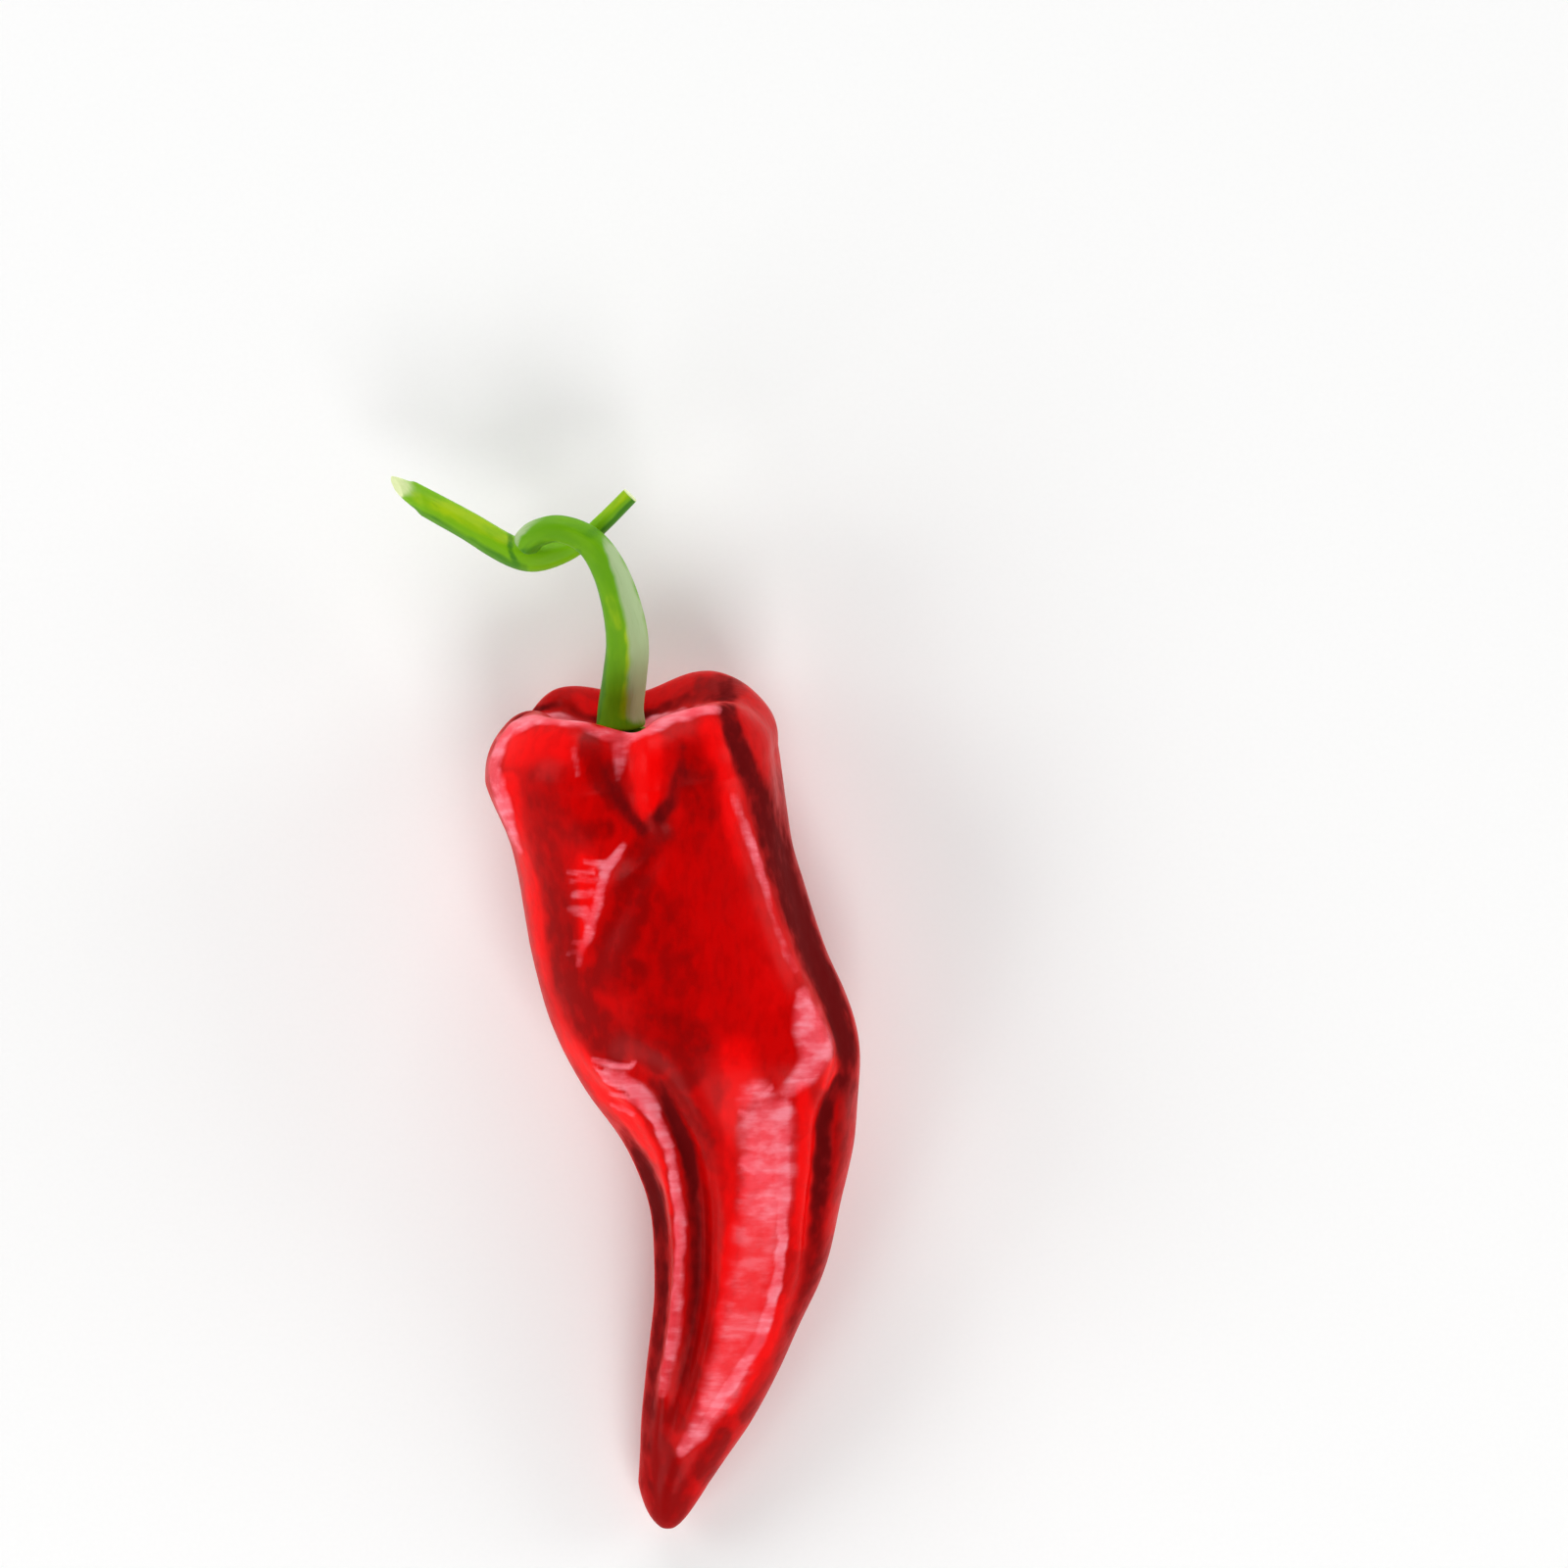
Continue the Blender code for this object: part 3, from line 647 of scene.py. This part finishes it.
def crease_depth(along, angle):
    """How deep the creases cut, as a share of the radius."""
    total = 0.0
    for _, path in crease_paths:
        centre, depth, width = path(along)
        total = total + depth * bell(turn_between(angle, centre) / width)
    return total


def bump_height(along, angle):
    return sum(
        height * bell((along - at) / length) * bell(turn_between(angle, at_angle) / width)
        for at, at_angle, length, width, height in BUMPS
    )


def crest_cut(angle):
    """How far the creases cut down the crown's crest at this angle, as a share of the crest's height."""
    total = 0.0
    for notch, path in crease_paths:
        centre, _, width = path(SHOULDER)
        total = total + notch * bell(turn_between(angle, centre) / (CREST_SPREAD * width))
    return total


def section_offset(along, angle, share):
    """(x, z) of the pod's surface from its section's middle, at share of the section's size."""
    _, width, height, _ = pod_section(along)
    relief = smoothstep(*CREASED_SHARE, share)
    scale = share * (1.0 - crease_depth(along, angle) * relief)
    bump = bump_height(along, angle) * relief
    turn = np.radians(angle)
    return (width * scale + bump) * np.sin(turn), (height * scale + bump) * np.cos(turn)


def underside_depth(along):
    """How far the section's underside lies below its middle."""
    places = np.linspace(BOTTOM, SHOULDER, UNDERSIDE_PLACES)
    angles = np.arange(90.0, 271.0, 6.0)
    lowest = [section_offset(np.full(angles.shape, place), angles, 1.0)[1].min() for place in places]
    return -np.interp(along, places, lowest)


def grown_pod(points):
    """Moves points of the straight tube to the grown, lobed pod."""
    x, y, z = points.T
    along = np.clip(y, BOTTOM, SHOULDER)
    past = y - along
    middle, width, height, clearance = pod_section(along)
    share = np.hypot(x / width, z / height)
    angle = np.degrees(np.arctan2(x / width, z / height))
    across, up = section_offset(along, angle, share)
    tilt = np.radians(TAIL_TILT + (CROWN_TILT - TAIL_TILT) * smoothstep(*TILT_CHANGE, along))
    rise = CROWN_RISE * smoothstep(RISE_START, SHOULDER, along)
    taller = BACK_LOBES * smoothstep(*BACK_ANGLES, np.abs(angle)) - crest_cut(angle)
    lift = past * (1.0 + taller * np.maximum(past, 0.0) / CROWN_CREST)
    tip_lean = np.where(past < 0.0, TIP_LEAN * (1.0 - share**3), 0.0)
    lean = np.where(past > 0.0, DIMPLE_SHIFT * (1.0 - share), tip_lean)
    floor = clearance - PRESSED + underside_depth(along)
    return np.column_stack([
        middle + lean + across,
        along + rise * across - up * np.tan(tilt) + lift * np.cos(tilt),
        np.maximum(floor + up + lift * np.sin(tilt), 0.0),
    ])


def profile_rings(profile, count):
    """count (share, past) pairs along an end profile, without its first."""
    curve = Through([(i, *row) for i, row in enumerate(profile)])
    return curve(np.linspace(0, len(profile) - 1, count + 1)[1:]).T


def pod_rings():
    """The straight pod's rings, from the tip over the body to the floor of the dimple."""
    rings = [(BOTTOM, share, -past) for share, past in profile_rings(TIP_PROFILE, TIP_RINGS)[::-1]]
    steps = round((SHOULDER - BOTTOM) / BODY_STEP)
    rings += [(y, 1.0, 0.0) for y in np.linspace(BOTTOM, SHOULDER, steps + 1)]
    rings += [(SHOULDER, share, past) for share, past in profile_rings(CROWN_PROFILE, CROWN_RINGS)]
    made = []
    for y, share, past in rings:
        _, width, height, _ = pod_section(y)[:, 0]
        made.append((y + past, share * width, share * height))
    return made


def dimple():
    """The middle of the dimple's floor and the direction that it faces."""
    share, past = CROWN_PROFILE[-1]
    _, width, height, _ = pod_section(SHOULDER)[:, 0] * share
    turns = np.linspace(0.0, 2.0 * np.pi, POD_SIDES, endpoint=False)
    along = np.full(POD_SIDES, SHOULDER + past)
    ring = grown_pod(np.column_stack([width * np.sin(turns), along, height * np.cos(turns)]))
    tilt = math.radians(CROWN_TILT)
    facing = Vector((-CROWN_RISE, math.cos(tilt), math.sin(tilt)))
    return Vector(ring.mean(axis=0)), facing.normalized()


# --- The stems' form -------------------------------------------------------------------------------------


class Route:
    """A smooth line through (x, y, z, radius) rows, with directions carried along it without twist."""

    def __init__(self, rows):
        places = np.array(rows, float)
        gaps = np.linalg.norm(np.diff(places[:, :3], axis=0), axis=1)
        travelled = np.concatenate([[0.0], np.cumsum(gaps)])
        self.length = travelled[-1]
        self.curve = Through(np.column_stack([travelled, places]))
        self.steps = np.linspace(0.0, self.length, ROUTE_STEPS)
        middles = self.curve(self.steps)[:3].T
        self.ways = np.gradient(middles, axis=0)
        self.ways /= np.linalg.norm(self.ways, axis=1)[:, None]
        across = np.cross(self.ways[0], (0.0, 0.0, 1.0))
        self.sides = []
        for way in self.ways:
            across = across - way * (across @ way)
            across = across / np.linalg.norm(across)
            self.sides.append(across)
        self.sides = np.array(self.sides)
        self.tops = np.cross(self.sides, self.ways)

    def radius(self, along):
        return self.curve(along)[3]

    def bent(self, points):
        """Moves points of a straight tube along +Y onto this line."""
        x, y, z = points.T
        along = np.clip(y, 0.0, self.length)
        sides, tops, ways = (
            np.column_stack([np.interp(along, self.steps, column) for column in table.T])
            for table in (self.sides, self.tops, self.ways)
        )
        return self.curve(along)[:3].T + x[:, None] * sides + z[:, None] * tops + (y - along)[:, None] * ways


def stem_rings(route, start, end):
    """The straight stem's rings, with the rings that shape its start and its end."""
    count = round(route.length / STEM_STEP)
    radii = route.radius(np.linspace(0.0, route.length, count + 1))
    low = [(y, radii[0] * share) for y, share in start]
    body = [(route.length * i / count, radii[i]) for i in range(1, count)]
    body = [(y, radius) for y, radius in body if y > low[-1][0]]
    high = [(route.length - y, radii[-1] * share) for y, share in end[::-1]]
    return [(y, radius, radius) for y, radius in low + body + high]


def ribbed(points, ribs):
    """Raises shallow ribs along a straight stem."""
    count, height = ribs
    turn = np.arctan2(points[:, 2], points[:, 0])
    swell = 1.0 + height * np.cos(count * turn + RIB_TWIST * points[:, 1])
    return points * np.column_stack([swell, np.ones(len(points)), swell])


# --- Finishes --------------------------------------------------------------------------------------------


class Value:
    """A shader socket to calculate with: each operation adds one Math node."""

    def __init__(self, finish, socket):
        self.finish, self.socket = finish, socket

    def maths(self, operation, first, second):
        return self.finish.node("ShaderNodeMath", {"operation": operation}, {0: first, 1: second})

    def __add__(self, other):
        return self.maths("ADD", self, other)

    def __rsub__(self, other):
        return self.maths("SUBTRACT", other, self)

    def __mul__(self, other):
        return self.maths("MULTIPLY", self, other)

    __radd__ = __add__
    __rmul__ = __mul__


class Shading:
    """A node tree to build in, with a coordinate that its patterns lie on."""

    def __init__(self, holder, coordinate):
        holder.use_nodes = True
        self.tree = holder.node_tree
        self.place = self.node("ShaderNodeTexCoord", output=coordinate)

    def fill(self, node, inputs):
        for name, value in inputs.items():
            if isinstance(value, Value):
                self.tree.links.new(value.socket, node.inputs[name])
            else:
                node.inputs[name].default_value = value

    def node(self, kind, settings=None, inputs=None, output=0):
        """Adds a node with its settings first, then its sockets' values or links, and gives one output."""
        node = self.tree.nodes.new(kind)
        for name, value in (settings or {}).items():
            setattr(node, name, value)
        self.fill(node, inputs or {})
        return Value(self, node.outputs[output])

    def step(self, value, low, high):
        """0 below low, 1 above high, and smooth between."""
        return self.node(
            "ShaderNodeMapRange",
            {"interpolation_type": "SMOOTHSTEP"},
            {"Value": value, "From Min": low, "From Max": high},
        )


class Finish(Shading):
    """A material on one Principled shader."""

    def __init__(self, name, constants):
        self.material = bpy.data.materials.new(name)
        super().__init__(self.material, "Object")
        self.shader = self.tree.nodes["Principled BSDF"]
        self.fill(self.shader, constants)

    def kept(self, name, output="Fac"):
        """The values that a piece's points keep under this name."""
        return self.node("ShaderNodeAttribute", {"attribute_name": name}, output=output)

    def speckle(self, size, detail=2.0, stretch=(1.0, 1.0, 1.0), place=None):
        """Noise with spots of this size in millimetres, stretched along each axis."""
        scale = [1.0 / (size * MM * way) for way in stretch]
        spread = self.node("ShaderNodeMapping", inputs={"Vector": place or self.place, "Scale": scale})
        return self.node("ShaderNodeTexNoise", inputs={"Vector": spread, "Scale": 1.0, "Detail": detail})

    def blend(self, factor, first, second):
        """The colour first, turning to second as factor grows."""
        inputs = {0: factor, 6: first, 7: second}
        return self.node("ShaderNodeMix", {"data_type": "RGBA"}, inputs, output=2)

    def bump(self, height, distance, strength):
        """A normal that shows height as relief of this many millimetres."""
        inputs = {"Height": height, "Distance": distance * MM, "Strength": strength}
        return self.node("ShaderNodeBump", inputs=inputs)

    def wear(self, piece):
        piece.data.materials.clear()
        piece.data.materials.append(self.material)


def rgba(colour):
    return (*colour, 1.0)


def skin_finish(look):
    """Waxy red skin: mottled, with painted light where the lobes stand out, painted shade in dark clouds, in
    its furrows and on its turned flanks, and painted pink highlights where the lobes catch the light.
    """
    skin = Finish("waxy_skin", {
        "IOR": 1.4,
        "Specular IOR Level": 0.06,
        "Specular Tint": rgba(look.gloss),
        "Coat Roughness": 0.2,
    })
    cloud = skin.speckle(6.0, 4.0)
    daub = skin.step(skin.speckle(1.5, 3.0, (1.0, 1.6, 1.0)), 0.3, 0.75)
    hatch = skin.step(skin.speckle(0.9, 3.0, (4.5, 1.0, 4.5)), 0.36, 0.64)
    bright, shade, deep, sheen, furrow = (skin.kept(name) for name in (*TONES, "furrow"))
    brushed = skin.step(skin.speckle(1.0, 4.0, (1.0, 2.4, 1.0)), 0.4, 0.7)
    colour = skin.blend(0.3 * brushed, rgba(look.middle), rgba(look.shade))
    # Painted light: brighter red where the lobes stand out.
    lit = skin.step(bright * (0.7 + 0.5 * daub) + 0.4 * cloud, 0.2, 1.15)
    colour = skin.blend(lit, colour, rgba(look.bright))
    # Painted shade: darker red clouds, with darker mottling.
    shaded = skin.step(shade * (0.6 + 0.6 * daub) + 0.5 * cloud, 0.25, 1.2)
    colour = skin.blend(shaded, colour, rgba(look.shade))
    # Painted shade: maroon in the furrows and on the flanks turned from the light.
    sunk_shade = skin.step(deep * (0.75 + 0.4 * daub) + 0.5 * furrow, 0.08, 0.95)
    colour = skin.blend(sunk_shade, colour, rgba(look.deep))
    drift = skin.step(skin.speckle(2.6, 3.0, (1.5, 1.0, 1.5)), 0.35, 0.65)
    # Painted highlight: pale pink streaks where the ridges catch the light, hatched with lighter glints.
    pale = skin.step(sheen * (0.7 + 0.12 * hatch + 0.3 * drift), 0.1, 1.0)
    highlight_tint = skin.blend(drift * (0.4 + 0.6 * hatch), rgba(look.sheen), rgba(look.glint))
    colour = skin.blend(pale * look.sheen_strength, colour, highlight_tint)
    skin.fill(skin.shader, {
        "Base Color": colour,
        "Roughness": look.roughness + 0.1 * daub + 0.1 * pale + 0.4 * sunk_shade,
        "Coat Weight": 0.05 - 0.05 * sunk_shade,
        "Normal": skin.bump(skin.speckle(0.9, 3.0, (2.0, 1.0, 1.0)) + 0.5 * hatch * sheen, 0.12, 0.35),
    })
    return skin


def fibre_finish(name, look, colour):
    """Green skin with fine fibres along the stem, a pale stripe that is partly a paler ridge and partly
    painted highlight, painted shade and painted light on its sides, and pale cuts.
    """
    green = Finish(name, {"IOR": 1.4, "Specular IOR Level": 0.2})
    straight = green.kept("straight", "Vector")
    fibres = green.speckle(0.35, 3.0, (1.0, 9.0, 1.0), straight)
    patches = green.step(green.speckle(1.6, 3.0, (1.0, 2.5, 1.0), straight), 0.35, 0.7)
    tint = green.blend(0.4 * patches, rgba(colour), rgba(look.fleck))
    for tone, layer, spread in (
        ("sunny", look.sunny, 0.6 + 0.5 * patches),
        ("shaded", look.shade, 0.7 + 0.5 * fibres),
        # the pale stripe: partly a paler ridge, partly painted highlight
        ("stripe", look.stripe, 0.6 + 0.8 * fibres),
        ("cut", look.cut, 0.9 + 0.2 * fibres),
    ):
        tint = green.blend(green.step(green.kept(tone) * spread, 0.15, 0.9), tint, rgba(layer))
    tint = green.blend(green.step(fibres, 0.55, 0.9) * 0.3, tint, rgba(look.shade))
    green.fill(green.shader, {
        "Base Color": tint,
        "Roughness": look.roughness + 0.15 * fibres,
        "Normal": green.bump(fibres + 0.4 * patches, 0.1, 0.4),
    })
    return green


# --- What a user can change ------------------------------------------------------------------------------


def colour_property(name, description, default):
    return bpy.props.FloatVectorProperty(
        name=name, description=description, default=default, subtype="COLOR", size=3, min=0.0, max=1.0
    )


class PodLook(bpy.types.PropertyGroup):
    # Painted light: the brighter red where the lobes stand out.
    bright: colour_property("Bright red", "Skin where the lobes stand out", (0.85, 0.001, 0.001))
    middle: colour_property("Middle red", "Most of the skin", (0.56, 0.0005, 0.0005))
    # Dark red: painted shade where the lobes turn from the light, and also the darker brushed grain and
    # mottling.
    shade: colour_property("Dark red", "Clouds down the middle of the pod", (0.27, 0.0005, 0.0005))
    # Painted shade in the furrows and on the flanks turned from the light.
    deep: colour_property("Furrow", "Skin in the furrows and on the turned flanks", (0.115, 0.0015, 0.002))
    # Painted highlights on the ridges: their pink, their lightest hatching, and how strongly they show.
    sheen: colour_property("Sheen", "Pale waxy streaks on the ridges", (0.95, 0.095, 0.13))
    glint: colour_property("Glint", "Lightest hatching in the waxy streaks", (1.0, 0.30, 0.37))
    gloss: colour_property("Gloss tint", "Tint of the waxy skin's gloss", (1.0, 0.7, 0.75))
    sheen_strength: bpy.props.FloatProperty(
        name="Sheen strength",
        description="How strongly the pale streaks show",
        default=0.75,
        min=0.0,
        max=1.0,
    )
    roughness: bpy.props.FloatProperty(
        name="Roughness", description="Roughness of the waxy skin", default=0.34, min=0.0, max=1.0
    )
    levels: bpy.props.IntProperty(
        name="Smoothing", description="How often the pod's mesh is subdivided", default=2, min=1, max=3
    )


class GreenLook(bpy.types.PropertyGroup):
    stalk: colour_property("Stalk", "Colour of the stalk", (0.115, 0.33, 0.001))
    fleck: colour_property("Flecks", "Colour of the greens' lighter flecks", (0.19, 0.43, 0.002))
    # The stalk's pale stripe: partly a paler ridge, partly painted highlight.
    stripe: colour_property("Stripe", "Colour of the dry pale stripe", (0.37, 0.49, 0.25))
    twig: colour_property("Twig", "Colour of the twig", (0.17, 0.42, 0.002))
    sunny: colour_property("Sunny side", "Colour of the greens' yellower upper side", (0.34, 0.52, 0.003))
    shade: colour_property("Shaded side", "Colour of the greens on their shaded side", (0.05, 0.21, 0.006))
    cut: colour_property("Cut", "Colour of the freshly cut ends", (0.70, 0.78, 0.40))
    roughness: bpy.props.FloatProperty(
        name="Roughness", description="Roughness of the green skin", default=0.42, min=0.0, max=1.0
    )


class StageLook(bpy.types.PropertyGroup):
    floor: colour_property("Floor", "Colour of the floor", (0.96, 0.96, 0.955))
    floor_size: bpy.props.FloatProperty(
        name="Floor size", description="Side of the square floor", default=4.0, min=1.0, unit="LENGTH"
    )
    walls: bpy.props.FloatProperty(
        name="Walls", description="Brightness of the pale walls all round", default=0.95, min=0.0
    )
    ceiling: bpy.props.FloatProperty(
        name="Ceiling", description="Brightness of the ceiling straight above", default=0.06, min=0.0
    )
    view_width: bpy.props.FloatProperty(
        name="View width", description="Width that the camera sees at the pepper", default=0.2, unit="LENGTH"
    )
    view_centre: bpy.props.FloatVectorProperty(
        name="View centre",
        description="Where the camera looks down, from the middle of the pepper",
        default=(0.0199, 0.0286),
        size=2,
        unit="LENGTH",
    )
    camera_height: bpy.props.FloatProperty(
        name="Camera height", description="Height of the camera over the floor", default=1.4, unit="LENGTH"
    )


# --- Operators -------------------------------------------------------------------------------------------


class PEPPER_OT_add_pod(bpy.types.Operator):
    """Add the red pod, with its lobes, furrows and dimpled crown"""

    bl_idname = "pepper.add_pod"
    bl_label = "Add Pod"

    def execute(self, context):
        look = context.scene.pod_look
        pod = extruded_tube("pod_skin", pod_rings(), POD_SIDES)
        subdivided(pod, look.levels)
        straight = drawn_points(pod)
        along = np.clip(straight[:, 1], BOTTOM, SHOULDER)
        _, width, height, _ = pod_section(along)
        angle = np.degrees(np.arctan2(straight[:, 0] / width, straight[:, 2] / height))
        points = grown_pod(straight)
        move_points(pod, points)
        # Painted light, painted shade and painted highlights, laid from above on the pod's upper side.
        tones = laid_tones(pod, points, TONES, POD_TONES_FADE)
        # The painted shade and painted highlights fade out sooner down the sides.
        for name in ("deep", "sheen"):
            tones[name] *= upper_side(pod, DEEP_AND_SHEEN_FADE)
        # Painted shade in the creases, darker the deeper they cut, except under painted light.
        furrow = np.clip(crease_depth(along, angle) / FULL_FURROW_SHADE, 0.0, 1.0)
        tones["furrow"] = furrow * (1.0 - tones["bright"])
        keep_tones(pod, tones)
        waves = skin_waves(points, *SKIN_WAVES)
        relief = waves - GROOVE_DEPTH * tones["deep"] + SHEEN_HEIGHT * tones["sheen"]
        points += outward(pod) * relief[:, None]
        points[:, 2] = np.maximum(points[:, 2], 0.0)
        move_points(pod, points)
        skin_finish(look).wear(pod)
        join_body(pod, "pod")
        return {"FINISHED"}


class PEPPER_OT_add_calyx(bpy.types.Operator):
    """Add the small ribbed calyx in the crown's dimple"""

    bl_idname = "pepper.add_calyx"
    bl_label = "Add Calyx"

    def execute(self, context):
        look = context.scene.green_look
        rings = [(height, radius, radius) for height, radius in CALYX_RINGS]
        calyx = extruded_tube("calyx_cup", rings, CALYX_SIDES)
        subdivided(calyx, 1)
        points = drawn_points(calyx)
        keep_values(calyx, "straight", points[:, [0, 2, 1]])
        x, height, z = points.T
        radius, turn = np.hypot(x, z), np.arctan2(z, x)
        rib = 0.5 + 0.5 * np.cos(CALYX_RIBS * turn)
        on_top = smoothstep(*CALYX_TOP, height)
        toothed = smoothstep(*TOOTHED_SHARE, radius / CALYX_RADIUS) * on_top
        grown = radius + CALYX_TOOTH * (rib**2 - 0.5) * toothed
        raised = height + RIB_RISE * rib * on_top
        middle, out = dimple()
        side = out.cross(Vector((0.0, 0.0, 1.0))).normalized()
        up = side.cross(out).normalized()
        points = (
            np.array(middle)
            + np.outer(grown * np.cos(turn), side)
            + np.outer(grown * np.sin(turn), up)
            + np.outer(raised, out)
        )
        move_points(calyx, points)
        keep_values(calyx, "shaded", rib * on_top * RIB_TONE)
        fibre_finish("calyx_green", look, look.stalk).wear(calyx)
        join_body(calyx, "calyx")
        return {"FINISHED"}


class PEPPER_OT_add_stalk(bpy.types.Operator):
    """Add the stalk that arches from the calyx over to the twig"""

    bl_idname = "pepper.add_stalk"
    bl_label = "Add Stalk"

    def execute(self, context):
        look = context.scene.green_look
        route = Route(STALK_ROUTE)
        stalk = extruded_tube("stalk_arch", stem_rings(route, STALK_FOOT, STALK_HOOK), STEM_SIDES)
        subdivided(stalk, 1)
        points = ribbed(drawn_points(stalk), STALK_RIBS)
        keep_values(stalk, "straight", points * MM)
        points = route.bent(points)
        move_points(stalk, points)
        tones = {"stripe": STALK_LIT_STRIPE, "shaded": STALK_SHADE, "sunny": STALK_SUNNY}
        keep_tones(stalk, laid_tones(stalk, points, tones, STEM_TONES_FADE))
        fibre_finish("stalk_green", look, look.stalk).wear(stalk)
        join_body(stalk, "stalk")
        return {"FINISHED"}


class PEPPER_OT_add_twig(bpy.types.Operator):
    """Add the short piece of twig, with its sloping cut and its snipped thin side"""

    bl_idname = "pepper.add_twig"
    bl_label = "Add Twig"

    def execute(self, context):
        look = context.scene.green_look
        route = Route(TWIG_ROUTE)
        twig = extruded_tube("twig_snip", stem_rings(route, TWIG_TAPER, TWIG_SNIP), STEM_SIDES)
        subdivided(twig, 1)
        points = ribbed(drawn_points(twig), TWIG_RIBS)
        keep_values(twig, "straight", points * MM)
        x, y, z = points.T
        on_cut = 1.0 - smoothstep(*CUT_TONE, np.minimum(y, route.length - y))
        middle, across, up = TWIG_CUT
        y += np.clip(1.0 - y / CUT_REACH, 0.0, 1.0) * (middle + across * x + up * z)
        points = route.bent(points)
        move_points(twig, points)
        tones = {"shaded": TWIG_SHADE, "sunny": TWIG_SUNNY}
        keep_tones(twig, laid_tones(twig, points, tones, STEM_TONES_FADE))
        keep_values(twig, "cut", np.maximum(on_cut, strokes_cover(points, TWIG_CUT_TONE)))
        fibre_finish("twig_green", look, look.twig).wear(twig)
        join_body(twig, "twig")
        return {"FINISHED"}


class PEPPER_OT_add_stage(bpy.types.Operator):
    """Add the pale floor, the soft lamps and the camera that looks straight down"""

    bl_idname = "pepper.add_stage"
    bl_label = "Add Stage"

    def execute(self, context):
        look = context.scene.stage_look
        self.add_floor(look)
        for name, lamp in LAMPS.items():
            self.add_lamp(name, *lamp)
        context.scene.world = self.room(look)
        context.scene.view_settings.view_transform = "Standard"
        self.add_camera(context.scene, look)
        return {"FINISHED"}

    def room(self, look):
        """Pale walls all round, and a dim ceiling."""
        world = bpy.data.worlds.new("room")
        room = Shading(world, "Generated")
        height = room.node("ShaderNodeSeparateXYZ", inputs={"Vector": room.place}, output="Z")
        strength = look.walls + (look.ceiling - look.walls) * room.step(height, *CEILING_EDGE)
        room.fill(room.tree.nodes["Background"], {"Color": rgba((1.0, 1.0, 1.0)), "Strength": strength})
        return world

    def add_floor(self, look):
        bpy.ops.object.select_all(action="DESELECT")
        bpy.ops.mesh.primitive_plane_add(size=look.floor_size)
        floor = bpy.context.object
        floor.name = floor.data.name = "floor"
        paper = Finish("pale_floor", {"Specular IOR Level": 0.2})
        grain = paper.speckle(0.6, 3.0)
        pale, dim = rgba(look.floor), rgba([0.97 * part for part in look.floor])
        colour = paper.blend(grain, pale, dim)
        paper.fill(paper.shader, {"Base Color": colour, "Roughness": 0.75 + 0.1 * grain})
        paper.wear(floor)

    def add_lamp(self, name, compass, elevation, distance, width, height, power):
        compass, elevation = math.radians(compass), math.radians(elevation)
        way = Vector((
            math.cos(compass) * math.cos(elevation),
            math.sin(compass) * math.cos(elevation),
            math.sin(elevation),
        ))
        bpy.ops.object.light_add(type="AREA", location=LAMP_AIM + way * distance)
        lamp = bpy.context.object
        lamp.name = lamp.data.name = name
        lamp.rotation_euler = way.to_track_quat("Z", "Y").to_euler()
        lamp.data.shape = "RECTANGLE"
        lamp.data.size, lamp.data.size_y, lamp.data.energy = width, height, power

    def add_camera(self, scene, look):
        location = (*look.view_centre, look.camera_height)
        bpy.ops.object.camera_add(location=location, rotation=(0.0, 0.0, 0.0))
        camera = bpy.context.object
        camera.name = camera.data.name = "camera_above"
        middle_height = (CAD_BOX[0].z + CAD_BOX[1].z) / 2
        distance = look.camera_height - middle_height
        camera.data.lens = camera.data.sensor_width * distance / look.view_width
        scene.camera = camera


class PEPPER_PT_pieces(bpy.types.Panel):
    """Lists the pepper's pieces and what can be changed on them"""

    bl_idname = "PEPPER_PT_pieces"
    bl_label = "Chilli Pepper"
    bl_space_type = "VIEW_3D"
    bl_region_type = "UI"
    bl_category = "Pepper"

    def draw(self, context):
        for look in (context.scene.pod_look, context.scene.green_look, context.scene.stage_look):
            box = self.layout.box()
            for name in look.bl_rna.properties.keys():
                if name not in ("rna_type", "name"):
                    box.prop(look, name)
        for operator in OPERATORS:
            self.layout.operator(operator.bl_idname)


OPERATORS = (
    PEPPER_OT_add_pod,
    PEPPER_OT_add_calyx,
    PEPPER_OT_add_stalk,
    PEPPER_OT_add_twig,
    PEPPER_OT_add_stage,
)
LOOKS = {"pod_look": PodLook, "green_look": GreenLook, "stage_look": StageLook}


def register():
    for cls in (*LOOKS.values(), *OPERATORS, PEPPER_PT_pieces):
        bpy.utils.register_class(cls)
    for name, look in LOOKS.items():
        setattr(bpy.types.Scene, name, bpy.props.PointerProperty(type=look))


def unregister():
    for name in LOOKS:
        delattr(bpy.types.Scene, name)
    for cls in reversed((*LOOKS.values(), *OPERATORS, PEPPER_PT_pieces)):
        bpy.utils.unregister_class(cls)


def main():
    register()
    bpy.ops.pepper.add_pod()
    bpy.ops.pepper.add_calyx()
    bpy.ops.pepper.add_stalk()
    bpy.ops.pepper.add_twig()
    bpy.ops.pepper.add_stage()


if __name__ == "__main__":
    main()
